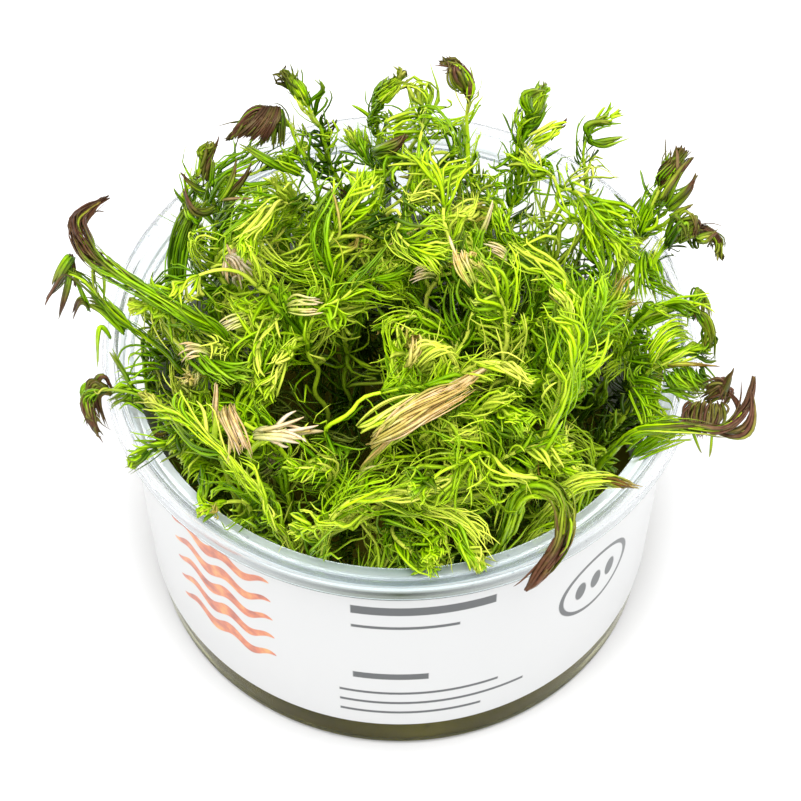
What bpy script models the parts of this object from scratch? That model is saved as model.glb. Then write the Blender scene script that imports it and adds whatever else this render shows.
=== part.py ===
"""Rotala shoots growing out of nutrient gel in a clear plastic culture cup.

The cup stands on its flat base with its axis on Z, and the origin is the centre of the base.
Lengths are in millimetres until a mesh is made, which is in metres.
"""

import math

import bmesh
import bpy
import numpy as np

MM = 0.001
GAP = 0.3
MERGE_DISTANCE = 0.001
SMOOTH_BELOW = 40.0

# Cup
SEGMENTS = 48
CUP_HEIGHT = 60.5
WALL = 0.7
BASE_THICKNESS = 0.8
BASE_FLAT_RADIUS = 43.4
HEEL_RADIUS = 44.2
HEEL_HEIGHT = 1.2
WALL_TOP_RADIUS = 46.3
HEEL_CORNER = 0.4
LEDGE_HEIGHT = 59.2
LEDGE_RADIUS = 47.1
LEDGE_RAMP = 0.4
CREST_RADIUS = 49.4
RIM_RADIUS = 50.0
RIM_EDGE = 0.7
LIP_DROP = 2.6
MOUTH_DEPTH = 1.2
MOUTH_TAPER = 0.1

# Label
LABEL_BOTTOM = 8.8
LABEL_TOP = 55.5
LABEL_THICKNESS = 0.3
LABEL_SEAM = 1.5

# Gel
GEL_TOP = 10.0

# Shoots
SIDES = 6
RINGS = 11
SAMPLES = 24
SMALLEST_RADIUS = 0.7
SHOOT_GAP = 0.45
ROOT_HEIGHT = GEL_TOP + GAP
RING_CROWDING = 1.55
CURVE_STEPS = 12

# Shoots that fill the cup: they end on a low dome, in tiers, and each curls over at its top
FILLER_COUNT = 28
GOLDEN_ANGLE = math.radians(137.508)
FIRST_HEADING = 0.6
FILLER_REACH = 41.0
FILLER_ROOT_REACH = 35.0
FILLER_MIDDLE = 0.6
DOME_TOP = 84.0
DOME_DROP = 15.0
TIER_DROP = 4.0
FILLER_GIRTH = 4.4
CURL_LENGTH = 19.0
CURL_RISE = 4.0
CURL_TURN = 0.55
CURL_SHOULDER = 0.4
TIP_RISE = 1.0
TIP_STEP = 2.0

# How far the leaves of an open shoot may spread past its girth where there is room
PLUMP = 1.3

# Clear shaft between the shoots, near the front, as half widths round a centre
SHAFT_CENTRE = (-8.0, -16.0)
SHAFT_HALF_WIDTH = 5.0
SHAFT_BERTH = 15.0

# How much a shoot gives way to a push, and how the shoots are moved apart
FIRM = 0.25
LOOSE = 1.0
SETTLE_ROUNDS = 240
PAIR_ROUNDS = 12
PAIR_MARGIN = 4.0
TRIM_ROUNDS = 6
TRIM_STEPS = 6
STRONGEST_TRIM = 0.2
GEL_BERTH = 0.2

# Girth at shares of the way from root to tip, and how deep the hollows between tufts are
OPEN_GIRTH = ([0, 0.12, 0.5, 0.86, 0.95, 1], [0.3, 0.5, 1, 1, 0.7, 0.15])
SLIM_GIRTH = ([0, 0.12, 0.6, 0.8, 0.94, 1], [0.3, 0.6, 0.9, 1, 0.6, 0.15])
GIRTH_SHARES = {"brush": OPEN_GIRTH, "bundle": SLIM_GIRTH, "dry": SLIM_GIRTH}
SPIKES = {"brush": 0.62, "bundle": 0.85, "dry": 0.85}

# Colours of the pieces: red, green, blue, alpha and roughness
CLEAR_PLASTIC = (0.90, 0.93, 0.93, 0.35, 0.15)
WHITE_FILM = (0.92, 0.92, 0.91, 1.0, 0.35)
OLIVE_GEL = (0.20, 0.21, 0.07, 0.9, 0.25)
SHOOT_COLOURS = {
    "brush": (0.25, 0.45, 0.03, 1.0, 0.45),
    "bundle": (0.16, 0.28, 0.03, 1.0, 0.4),
    "dry": (0.62, 0.45, 0.22, 1.0, 0.7),
}

# Shoots with a place of their own: kind, girth, root on the gel, then the way to the tip
PLACED_SHOOTS = {
    "shoot_left_hook": (
        "bundle",
        2.6,
        [
            (-18, -4), (-23, -5, 45), (-30, -7, 72), (-40, -6, 80), (-48, -1, 82), (-53, 6, 83),
            (-49, 12, 82),
        ],
    ),
    "shoot_left_fork": (
        "brush",
        3.0,
        [(-27, 6), (-34, 2, 45), (-42, -2, 66), (-48, 0, 71), (-53, 4, 75), (-58, 3, 69)],
    ),
    "shoot_left_clump": (
        "bundle",
        2.8,
        [
            (-25, -15), (-33, -16, 45), (-39, -17, 66), (-46, -17, 71), (-51, -18, 69),
            (-49, -23, 67),
        ],
    ),
    "shoot_left_pink": ("brush", 3.6, [(-28, -7), (-33, -12, 45), (-35, -14, 58), (-34, -15, 69)]),
    "shoot_back_left": (
        "brush",
        3.8,
        [(-24, 17), (-32, 18, 45), (-35, 18, 62), (-34, 20, 73), (-32, 23, 82)],
    ),
    "shoot_back_left_pink": ("dry", 2.6, [(-18, 8), (-23, 7, 45), (-26, 6, 66), (-27, 4, 77)]),
    "shoot_back_left_hook": (
        "bundle",
        2.6,
        [(-12, 20), (-15, 24, 45), (-17, 26, 68), (-19, 29, 79), (-23, 31, 84), (-28, 28, 80)],
    ),
    "shoot_back_one": (
        "brush",
        3.6,
        [(-6, 27), (-9, 31, 45), (-12, 33, 68), (-15, 34, 79), (-19, 36, 86)],
    ),
    "shoot_back_two": ("brush", 3.4, [(3, 28), (0, 32, 45), (-2, 33, 68), (-2, 34, 79), (0, 36, 86)]),
    "shoot_back_tall": (
        "bundle",
        2.8,
        [(10, 22), (12, 26, 45), (12, 28, 66), (11, 30, 80), (12, 34, 88), (8, 35, 90)],
    ),
    "shoot_back_right": (
        "brush",
        3.6,
        [(18, 22), (20, 28, 45), (20, 30, 66), (21, 31, 77), (24, 34, 84)],
    ),
    "shoot_back_right_thin": (
        "brush",
        2.4,
        [(25, 17), (30, 23, 45), (32, 26, 66), (31, 28, 78), (36, 29, 83)],
    ),
    "shoot_right_back": (
        "brush",
        3.4,
        [(29, 9), (36, 13, 45), (40, 15, 62), (44, 17, 75), (46, 21, 83)],
    ),
    "shoot_right_clump": (
        "bundle",
        2.8,
        [(30, 1), (35, 5, 45), (39, 9, 62), (45, 13, 71), (52, 13, 73), (53, 11, 70)],
    ),
    "shoot_right_droop": (
        "brush",
        3.4,
        [(24, -4), (33, -2, 45), (39, -1, 66), (45, -3, 75), (50, -6, 74), (51, -8, 70)],
    ),
    "shoot_right_brush": (
        "brush",
        3.2,
        [(29, -9), (35, -8, 45), (40, -8, 60), (44, -8, 66), (50, -7, 67)],
    ),
    "shoot_right_hook": (
        "bundle",
        2.8,
        [
            (22, -14), (32, -18, 45), (38, -23, 66), (45, -25, 71), (52, -25, 70), (56, -21, 71),
            (57, -17, 73),
        ],
    ),
    "shoot_front_right_tip": (
        "brush",
        3.2,
        [(15, -22), (20, -29, 45), (26, -33, 66), (31, -34, 70), (37, -34, 67)],
    ),
    "shoot_front_drape": (
        "bundle",
        2.8,
        [(9, -29), (15, -34, 45), (21, -36, 70), (26, -41, 73), (25, -46, 68), (20, -50, 62)],
    ),
    "shoot_front_green": ("brush", 2.8, [(2, -31), (3, -38, 45), (4, -41, 60), (5, -46, 64)]),
    "shoot_front_left": ("brush", 3.4, [(-18, -27), (-25, -32, 45), (-27, -34, 60), (-31, -37, 65)]),
    "shoot_dry_lying": (
        "dry",
        2.6,
        [(-3, -22), (-4, -31, 45), (-6, -33, 66), (-2, -32, 76), (4, -28, 79), (13, -21, 80)],
    ),
    "shoot_centre_fountain": ("brush", 3.8, [(5, -9), (4, -12, 45), (3, -16, 70), (2, -19, 84)]),
    "shoot_dry_spread": (
        "dry",
        2.8,
        [(-17, -19), (-24, -25, 45), (-25, -29, 64), (-21, -30, 75), (-14, -31, 78)],
    ),
    "shoot_dry_upright": ("dry", 2.6, [(-22, -23), (-27, -32, 45), (-27, -33, 62), (-29, -24, 78)]),
    "shoot_lime_arch": (
        "brush",
        3.4,
        [
            (-11, -29), (-19, -35, 45), (-24, -36, 66), (-30, -30, 73), (-36, -25, 75),
            (-41, -20, 72),
        ],
    ),
    "shoot_yellow_whorl": (
        "brush",
        3.4,
        [(20, -4), (20, -10, 45), (19, -12, 74), (17, -10, 84), (11, -7, 90)],
    ),
    "shoot_lime_bend": (
        "brush",
        3.0,
        [(15, -13), (22, -24, 45), (24, -28, 66), (27, -24, 78), (28, -17, 83), (26, -9, 86)],
    ),
    "shoot_front_lime": (
        "brush",
        3.4,
        [(-5, -31), (-11, -38, 45), (-13, -39, 62), (-7, -38, 70), (8, -35, 70)],
    ),
}


def clear_scene():
    for item in list(bpy.data.objects):
        bpy.data.objects.remove(item)


def make_material(name, colour):
    red, green, blue, alpha, roughness = colour
    material = bpy.data.materials.new(name)
    material.use_nodes = True
    shader = material.node_tree.nodes["Principled BSDF"]
    shader.inputs["Base Color"].default_value = (red, green, blue, 1.0)
    shader.inputs["Roughness"].default_value = roughness
    shader.inputs["Metallic"].default_value = 0.0
    shader.inputs["Alpha"].default_value = alpha
    return material


def add_object(name, mesh_data, colour):
    """Turn a bmesh in millimetres into a named object in metres with its own material."""
    bmesh.ops.scale(mesh_data, vec=(MM, MM, MM), verts=mesh_data.verts)
    bmesh.ops.recalc_face_normals(mesh_data, faces=mesh_data.faces)
    mesh = bpy.data.meshes.new(name)
    mesh_data.to_mesh(mesh)
    mesh_data.free()
    mesh.shade_smooth()
    mesh.set_sharp_from_angle(angle=math.radians(SMOOTH_BELOW))
    mesh.materials.append(make_material(name + "_finish", colour))
    item = bpy.data.objects.new(name, mesh)
    bpy.context.scene.collection.objects.link(item)


def spin_profile(profile, turn=2 * math.pi, start=0.0):
    """Spin a chain of (radius, height) points about Z from the start heading."""
    spun = bmesh.new()
    heading = (math.cos(start), math.sin(start))
    corners = [spun.verts.new((r * heading[0], r * heading[1], z)) for r, z in profile]
    edges = [spun.edges.new(pair) for pair in zip(corners, corners[1:])]
    bmesh.ops.spin(
        spun,
        geom=corners + edges,
        axis=(0.0, 0.0, 1.0),
        cent=(0.0, 0.0, 0.0),
        angle=turn,
        steps=SEGMENTS,
    )
    bmesh.ops.remove_doubles(spun, verts=spun.verts, dist=MERGE_DISTANCE)
    return spun


def flatten_disc(spun, height):
    """Join the fan of triangles on the axis at one height into a single flat face."""
    fan = [f for f in spun.faces if all(abs(v.co.z - height) < MERGE_DISTANCE for v in f.verts)]
    bmesh.ops.dissolve_faces(spun, faces=fan, use_verts=True)


def wall_radius(height):
    """Outer radius of the cup's wall, which widens evenly from the heel to the rim."""
    share = (height - HEEL_HEIGHT) / (LEDGE_HEIGHT - WALL - HEEL_HEIGHT)
    return HEEL_RADIUS + (WALL_TOP_RADIUS - HEEL_RADIUS) * share


def cup_profile():
    """Section of the cup from the middle of its base, up the outside, over the rim and down."""
    lip_bottom = CUP_HEIGHT - LIP_DROP
    under_ledge = LEDGE_HEIGHT - WALL
    outside = [
        (0.0, 0.0),
        (BASE_FLAT_RADIUS, 0.0),
        (HEEL_RADIUS - HEEL_CORNER, HEEL_CORNER),
        (HEEL_RADIUS, HEEL_HEIGHT),
        (WALL_TOP_RADIUS, under_ledge),
        (LEDGE_RADIUS + WALL, under_ledge),
        (LEDGE_RADIUS + WALL, CUP_HEIGHT - WALL),
        (RIM_RADIUS - WALL, CUP_HEIGHT - WALL),
        (RIM_RADIUS - WALL, lip_bottom),
        (RIM_RADIUS, lip_bottom),
        (RIM_RADIUS, CUP_HEIGHT - RIM_EDGE),
        (CREST_RADIUS, CUP_HEIGHT),
        (LEDGE_RADIUS + LEDGE_RAMP, CUP_HEIGHT),
        (LEDGE_RADIUS, LEDGE_HEIGHT),
    ]
    inside = [
        (WALL_TOP_RADIUS - WALL, LEDGE_HEIGHT),
        (WALL_TOP_RADIUS - WALL - MOUTH_TAPER, LEDGE_HEIGHT - MOUTH_DEPTH),
        (HEEL_RADIUS - WALL, HEEL_HEIGHT),
        (BASE_FLAT_RADIUS, BASE_THICKNESS),
        (0.0, BASE_THICKNESS),
    ]
    return outside + inside


def build_cup():
    cup = spin_profile(cup_profile())
    flatten_disc(cup, 0.0)
    flatten_disc(cup, BASE_THICKNESS)
    add_object("cup", cup, CLEAR_PLASTIC)


def build_label():
    """A band round the wall that stops short of a whole turn at the back, where its seam is."""
    seam = LABEL_SEAM / WALL_TOP_RADIUS
    inner = [(wall_radius(z) + GAP, z) for z in (LABEL_BOTTOM, LABEL_TOP)]
    outer = [(r + LABEL_THICKNESS, z) for r, z in inner]
    section = [inner[0], outer[0], outer[1], inner[1], inner[0]]
    back = math.radians(90)
    band = spin_profile(section, turn=2 * math.pi - seam, start=back + 0.5 * seam)
    bmesh.ops.holes_fill(band, edges=[edge for edge in band.edges if edge.is_boundary], sides=0)
    add_object("label", band, WHITE_FILM)


def build_gel():
    bottom = BASE_THICKNESS + GAP
    bottom_radius = BASE_FLAT_RADIUS - GAP
    side = [(wall_radius(z) - WALL - GAP, z) for z in (HEEL_HEIGHT + GAP, GEL_TOP)]
    gel = spin_profile([(0.0, bottom), (bottom_radius, bottom), *side, (0.0, GEL_TOP)])
    flatten_disc(gel, bottom)
    flatten_disc(gel, GEL_TOP)
    add_object("gel", gel, OLIVE_GEL)


def smooth_route(points, count):
    """Even steps along a smooth curve through the given points."""
    corners = np.array(points, float)
    before = 2 * corners[0] - corners[1]
    after = 2 * corners[-1] - corners[-2]
    chain = np.vstack([before, corners, after])
    fine = []
    for a, b, c, d in zip(chain, chain[1:], chain[2:], chain[3:]):
        for t in np.linspace(0, 1, CURVE_STEPS, endpoint=False):
            fine.append(
                b
                + 0.5 * t * (c - a)
                + t * t * (a - 2.5 * b + 2 * c - 0.5 * d)
                + t**3 * (1.5 * (b - c) + 0.5 * (d - a))
            )
    fine.append(corners[-1])
    return resample(np.array(fine), np.linspace(0, 1, count))


def resample(points, shares):
    """Points at the given shares of a polyline's length."""
    lengths = np.linalg.norm(np.diff(points, axis=0), axis=1)
    walked = np.concatenate([[0.0], np.cumsum(lengths)])
    wanted = np.array(shares) * walked[-1]
    return np.column_stack([np.interp(wanted, walked, points[:, axis]) for axis in range(3)])


def filler_routes():
    """Shoots that fill the cup, spaced by the golden angle, each with a curl at its top."""
    routes = {}
    for index in range(FILLER_COUNT):
        spread = math.sqrt((index + 0.5) / FILLER_COUNT)
        heading = index * GOLDEN_ANGLE + FIRST_HEADING
        out = np.array([math.cos(heading), math.sin(heading), 0.0])
        top_height = DOME_TOP - DOME_DROP * spread**2 - TIER_DROP * (index % 3)
        root = out * spread * FILLER_ROOT_REACH + np.array([0, 0, ROOT_HEIGHT])
        middle = out * spread * FILLER_REACH + np.array([0, 0, FILLER_MIDDLE * top_height])
        crest = out * spread * FILLER_REACH + np.array([0, 0, top_height - CURL_RISE])
        curl_heading = heading + (2 + index % 5) * CURL_TURN * (-1) ** index
        curl = np.array([math.cos(curl_heading), math.sin(curl_heading), 0.0])
        end = crest[:2] + curl[:2] * CURL_LENGTH
        if math.dist(end, SHAFT_CENTRE) < SHAFT_BERTH:
            curl = -curl
        shoulder = crest + curl * CURL_LENGTH * CURL_SHOULDER + np.array([0, 0, CURL_RISE])
        tip = crest + curl * CURL_LENGTH + np.array([0, 0, TIP_RISE + (index % 4) * TIP_STEP])
        routes[f"shoot_{index + 1:02d}"] = [root, middle, crest, shoulder, tip]
    return routes


def girth_along(kind, girth, shares):
    """Radius of the leafy form from the root to the tip."""
    return girth * np.interp(shares, *GIRTH_SHARES[kind])


def push_from_cup(points, radii):
    """How far each point has to move to clear the cup's wall and its rim."""
    radius = np.hypot(points[:, 0], points[:, 1])
    outward = points.copy()
    outward[:, 2] = 0.0
    outward /= np.maximum(radius, 0.001)[:, None]
    push = np.zeros_like(points)
    inner_radius = wall_radius(points[:, 2]) - WALL
    in_wall = (points[:, 2] < LEDGE_HEIGHT) & (radius < RIM_RADIUS)
    depth = np.where(in_wall, radius + radii + SHOOT_GAP - inner_radius, 0.0)
    push -= outward * np.maximum(depth, 0.0)[:, None]
    nearest_radius = np.clip(radius, WALL_TOP_RADIUS - WALL, RIM_RADIUS)
    nearest_height = np.minimum(points[:, 2], CUP_HEIGHT)
    across = radius - nearest_radius
    above = points[:, 2] - nearest_height
    distance = np.hypot(across, above)
    over_rim = (points[:, 2] >= LEDGE_HEIGHT) & (distance < radii + SHOOT_GAP)
    short = np.where(over_rim, radii + SHOOT_GAP - distance, 0.0)
    distance = np.maximum(distance, 0.001)
    push += outward * (short * across / distance)[:, None]
    push[:, 2] += short * np.where(above > 0, above / distance, 1.0)
    return push


def push_from_shaft(points, radii):
    """How far each point has to move sideways to leave the clear shaft open."""
    push = np.zeros_like(points)
    offset = points[:, :2] - np.array(SHAFT_CENTRE)
    short = SHAFT_HALF_WIDTH + SHOOT_GAP + radii[:, None] - np.abs(offset)
    inside = (short > 0).all(axis=1)
    axis = np.argmin(short, axis=1)
    rows = np.arange(len(points))
    amount = np.where(inside, short[rows, axis], 0.0)
    push[rows, axis] = amount * np.where(offset[rows, axis] < 0, -1.0, 1.0)
    return push


def close_pairs(points, radii, owners):
    """Pairs of points on different shoots that are nearly touching."""
    first, second = [], []
    for index in range(len(points) - 1):
        rest = slice(index + 1, None)
        distance = np.linalg.norm(points[rest] - points[index], axis=1)
        near = distance < radii[rest] + radii[index] + PAIR_MARGIN
        near &= owners[rest] != owners[index]
        found = np.nonzero(near)[0] + index + 1
        first.append(np.full(len(found), index))
        second.append(found)
    return np.concatenate(first), np.concatenate(second)


def settle(routes, radii, ease):
    """Move the shoots apart until they clear each other, the cup and the shaft."""
    count = len(routes)
    start = routes.copy()
    shift = np.zeros_like(start)
    owners = np.repeat(np.arange(count), SAMPLES)
    flat_radii = radii.reshape(-1)
    flat_ease = np.repeat(ease, SAMPLES)
    for turn in range(SETTLE_ROUNDS):
        points = (start + shift).reshape(-1, 3)
        if turn % PAIR_ROUNDS == 0:
            first, second = close_pairs(points, flat_radii, owners)
        apart = points[second] - points[first]
        distance = np.maximum(np.linalg.norm(apart, axis=1), 0.001)
        short = np.maximum(flat_radii[first] + flat_radii[second] + SHOOT_GAP - distance, 0.0)
        share = flat_ease[first] / (flat_ease[first] + flat_ease[second])
        step = apart / distance[:, None] * (0.5 * short)[:, None]
        push = np.zeros_like(points)
        np.add.at(push, first, -step * share[:, None])
        np.add.at(push, second, step * (1 - share)[:, None])
        push += push_from_shaft(points, flat_radii)
        shift += push.reshape(count, SAMPLES, 3)
        smoothed = shift.copy()
        smoothed[:, 1:-1] = 0.5 * shift[:, 1:-1] + 0.25 * (shift[:, :-2] + shift[:, 2:])
        shift = smoothed
        points = (start + shift).reshape(-1, 3)
        shift += push_from_cup(points, flat_radii).reshape(count, SAMPLES, 3)
        sunk = ROOT_HEIGHT + GEL_BERTH * flat_radii - points[:, 2]
        shift[:, :, 2] += np.maximum(sunk, 0.0).reshape(count, SAMPLES)
        shift[:, 0, 2] = 0.0
    return start + shift


def trim_girths(rings, radii):
    """Slim each ring until no shoot reaches into its neighbour, the cup or the shaft."""
    shares = np.linspace(0, RINGS, RINGS * TRIM_STEPS + 1)
    low = np.minimum(np.floor(shares).astype(int), RINGS - 1)
    part = shares - low
    points = rings[:, low] * (1 - part)[:, None] + rings[:, low + 1] * part[:, None]
    radii = radii.copy()
    for _ in range(TRIM_ROUNDS):
        between = radii[:, low] * (1 - part) + radii[:, low + 1] * part
        scale = np.ones_like(between)
        for index in range(len(rings)):
            others = np.delete(np.arange(len(rings)), index)
            spots = points[others].reshape(-1, 3)
            widths = between[others].reshape(-1)
            away = np.linalg.norm(points[index][:, None] - spots[None], axis=2) - SHOOT_GAP
            fits = away / (between[index][:, None] + widths[None])
            scale[index] = np.minimum(scale[index], fits.min(axis=1))
        pressed = push_from_cup(points.reshape(-1, 3), between.reshape(-1))
        pressed += push_from_shaft(points.reshape(-1, 3), between.reshape(-1))
        pressed = np.linalg.norm(pressed, axis=1).reshape(between.shape)
        scale = np.minimum(scale, 1 - pressed / between)
        scale = np.clip(scale, STRONGEST_TRIM, 1.0)
        for ring in range(RINGS + 1):
            near = np.abs(shares - ring) < 1
            radii[:, ring] *= scale[:, near].min(axis=1)
    return np.maximum(radii, SMALLEST_RADIUS)


def leafy_tube(centres, radii, spike):
    """A closed tube along the centres whose corners stand out in turn like tufts of leaves."""
    tube = bmesh.new()
    tangents = np.gradient(centres, axis=0)
    tangents /= np.linalg.norm(tangents, axis=1)[:, None]
    side = np.cross(tangents[0], (0.0, 1.0, 0.0))
    rows = []
    for ring in range(len(centres) - 1):
        side -= tangents[ring] * side.dot(tangents[ring])
        side /= np.linalg.norm(side)
        other = np.cross(tangents[ring], side)
        row = []
        for corner in range(SIDES):
            angle = 2 * math.pi * corner / SIDES
            stands_out = (corner + ring) % 2 == 0 or ring == 0
            reach = radii[ring] * (1.0 if stands_out else spike)
            arm = side * math.cos(angle) + other * math.sin(angle)
            row.append(tube.verts.new(centres[ring] + arm * reach))
        rows.append(row)
    for vertex in rows[0]:
        vertex.co.z = ROOT_HEIGHT
    for lower, upper in zip(rows, rows[1:]):
        for corner in range(SIDES):
            after = (corner + 1) % SIDES
            tube.faces.new((lower[corner], lower[after], upper[after], upper[corner]))
    tip = tube.verts.new(centres[-1])
    for corner in range(SIDES):
        tube.faces.new((rows[-1][corner], rows[-1][(corner + 1) % SIDES], tip))
    tube.faces.new(list(reversed(rows[0])))
    bmesh.ops.triangulate(tube, faces=tube.faces)
    return tube


def build_shoots():
    names, kinds, girths, ease, routes = [], [], [], [], []
    for name, (kind, girth, way) in PLACED_SHOOTS.items():
        root = (*way[0], ROOT_HEIGHT)
        names.append(name)
        kinds.append(kind)
        girths.append(girth)
        ease.append(FIRM)
        routes.append(smooth_route([root, *way[1:]], SAMPLES))
    for name, way in filler_routes().items():
        names.append(name)
        kinds.append("brush")
        girths.append(FILLER_GIRTH)
        ease.append(LOOSE)
        routes.append(smooth_route(way, SAMPLES))
    shares = np.linspace(0, 1, SAMPLES)
    radii = np.array([girth_along(kind, girth, shares) for kind, girth in zip(kinds, girths)])
    settled = settle(np.array(routes), radii, np.array(ease))
    ring_shares = 1 - (1 - np.linspace(0, 1, RINGS + 1)) ** RING_CROWDING
    rings = np.array([resample(route, ring_shares) for route in settled])
    widest = [girth * (PLUMP if kind == "brush" else 1.0) for kind, girth in zip(kinds, girths)]
    ring_radii = np.array([girth_along(kind, girth, ring_shares) for kind, girth in zip(kinds, widest)])
    ring_radii = trim_girths(rings, ring_radii)
    for name, kind, centres, widths in zip(names, kinds, rings, ring_radii):
        add_object(name, leafy_tube(centres, widths, SPIKES[kind]), SHOOT_COLOURS[kind])


def build():
    clear_scene()
    build_cup()
    build_label()
    build_gel()
    build_shoots()


build()
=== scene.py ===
# %% [markdown]
# # Rotala in a culture cup
# A clear plastic cup holds a layer of olive nutrient gel, and a thick tuft of rotala grows out of it.
# The plant is thousands of needle leaves in whorls on soft stems, so most of this lesson is about
# making one leaf well and growing it along every stem.
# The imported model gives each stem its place. Everything here is built around it, in the same frame.

import math

import bmesh
import bpy
import numpy as np
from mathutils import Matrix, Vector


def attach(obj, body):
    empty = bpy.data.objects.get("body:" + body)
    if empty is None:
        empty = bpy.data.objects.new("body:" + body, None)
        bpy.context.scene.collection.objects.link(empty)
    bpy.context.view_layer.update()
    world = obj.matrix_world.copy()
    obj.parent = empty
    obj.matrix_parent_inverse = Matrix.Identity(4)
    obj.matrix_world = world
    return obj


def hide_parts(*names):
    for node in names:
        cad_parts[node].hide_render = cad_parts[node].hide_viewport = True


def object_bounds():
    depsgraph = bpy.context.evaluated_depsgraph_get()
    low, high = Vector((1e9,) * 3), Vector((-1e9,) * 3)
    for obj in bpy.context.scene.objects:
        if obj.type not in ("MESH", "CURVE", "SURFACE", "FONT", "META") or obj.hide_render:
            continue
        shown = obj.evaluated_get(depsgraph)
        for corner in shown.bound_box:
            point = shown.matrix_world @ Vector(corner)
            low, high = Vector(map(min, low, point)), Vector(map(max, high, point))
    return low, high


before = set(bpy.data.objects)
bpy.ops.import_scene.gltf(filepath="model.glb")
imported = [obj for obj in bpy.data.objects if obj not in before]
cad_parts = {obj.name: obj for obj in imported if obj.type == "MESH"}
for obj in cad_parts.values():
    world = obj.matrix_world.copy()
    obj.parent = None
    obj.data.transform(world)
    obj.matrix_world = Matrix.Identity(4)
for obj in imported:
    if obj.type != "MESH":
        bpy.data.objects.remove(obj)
cad_low, cad_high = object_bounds()
MM = 0.001
print("the frame holds", len(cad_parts), "nodes")

# %% [markdown]
# ## Camera
# The picture was taken from in front and well above, through a long lens, so the rim is a wide
# ellipse and the label is foreshortened. A camera on the cup's centre plane, tipped 54.7 degrees
# down, gives the same view.

# %% Camera
CAMERA_PLACE = (0.0, -0.2843, 0.4436)
CAMERA_TIP = math.radians(90 - 54.68)
LENS = 127.71
SIDE_SHIFT = 0.0012

bpy.ops.object.select_all(action="DESELECT")
bpy.ops.object.camera_add(location=CAMERA_PLACE, rotation=(CAMERA_TIP, 0.0, 0.0))
camera = bpy.context.object
camera.name = "camera"
camera.data.lens = LENS
camera.data.sensor_width = 36.0
camera.data.shift_x = SIDE_SHIFT
camera.data.dof.use_dof = False
bpy.context.scene.camera = camera
print("camera at", tuple(round(v, 3) for v in camera.location))

# %% [markdown]
# ## Floor and light
# The object stands on a plain white floor. A wide lamp hangs almost overhead, so that the tops of
# the leaves shine, the gaps between them fall dark and hardly any shadow shows beside the cup. A
# weak lamp at the right and a white sky fill the rest.

# %% Floor, lamps and sky
FLOOR_SIZE = 6.0
FLOOR_WHITE = (0.93, 0.93, 0.93, 1.0)
KEY_PLACE, KEY_TILT, KEY_POWER = (-0.04, -0.19, 0.95), (12, 0, -12), 10.4
SIDE_PLACE, SIDE_TILT, SIDE_POWER = (0.55, 0.1, 0.7), (0, 38, 0), 1.2
SKY_STRENGTH = 0.7


def plain_material(name, colour, roughness):
    """A new node material, with its shader's colour and roughness set."""
    material = bpy.data.materials.new(name)
    material.use_nodes = True
    shader = material.node_tree.nodes["Principled BSDF"]
    shader.inputs["Base Color"].default_value = colour
    shader.inputs["Roughness"].default_value = roughness
    return material


def hang_lamp(name, place, tilt, size, power):
    """A square area lamp that shines down, then tilted by degrees round X, Y and Z."""
    bpy.ops.object.light_add(type="AREA", location=place)
    lamp = bpy.context.object
    lamp.name = name
    lamp.data.size = size
    lamp.data.energy = power
    lamp.rotation_euler = [math.radians(angle) for angle in tilt]
    return lamp


bpy.ops.mesh.primitive_plane_add(size=FLOOR_SIZE, location=(0.0, 0.0, -0.0002))
floor = bpy.context.object
floor.name = "floor"
floor.data.materials.append(plain_material("floor_white", FLOOR_WHITE, 0.9))

key_lamp = hang_lamp("key_lamp", KEY_PLACE, KEY_TILT, 0.75, KEY_POWER)
side_lamp = hang_lamp("side_lamp", SIDE_PLACE, SIDE_TILT, 0.6, SIDE_POWER)

sky = bpy.data.worlds.new("white_sky")
sky.use_nodes = True
sky.node_tree.nodes["Background"].inputs["Color"].default_value = (1.0, 1.0, 1.0, 1.0)
sky.node_tree.nodes["Background"].inputs["Strength"].default_value = SKY_STRENGTH
bpy.context.scene.world = sky
bpy.context.scene.view_settings.view_transform = "Standard"
print("lamps:", key_lamp.data.energy, side_lamp.data.energy)

# %% [markdown]
# ## Turned pieces
# The cup and the gel are round, as if turned on a lathe. By hand this is a circle that is extruded
# ring by ring: each new ring is pulled up and scaled to its radius. One helper does that for a list
# of (radius, height) points, so that every round piece has clean rings and closed middles.

# %% A helper that turns a profile
def start_fresh():
    """Leave edit mode and deselect everything, because an operator acts on all that is selected."""
    if bpy.context.object and bpy.context.object.mode != "OBJECT":
        bpy.ops.object.mode_set(mode="OBJECT")
    bpy.ops.object.select_all(action="DESELECT")


def select_ring(item, height, radius, tolerance):
    """Select the corners of a mesh in edit mode that lie at one height and radius."""
    mesh = bmesh.from_edit_mesh(item.data)
    for corner in mesh.verts:
        away = abs(corner.co.z - height) + abs(math.hypot(corner.co.x, corner.co.y) - radius)
        corner.select = away < tolerance
    mesh.select_flush_mode()
    bmesh.update_edit_mesh(item.data)


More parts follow.
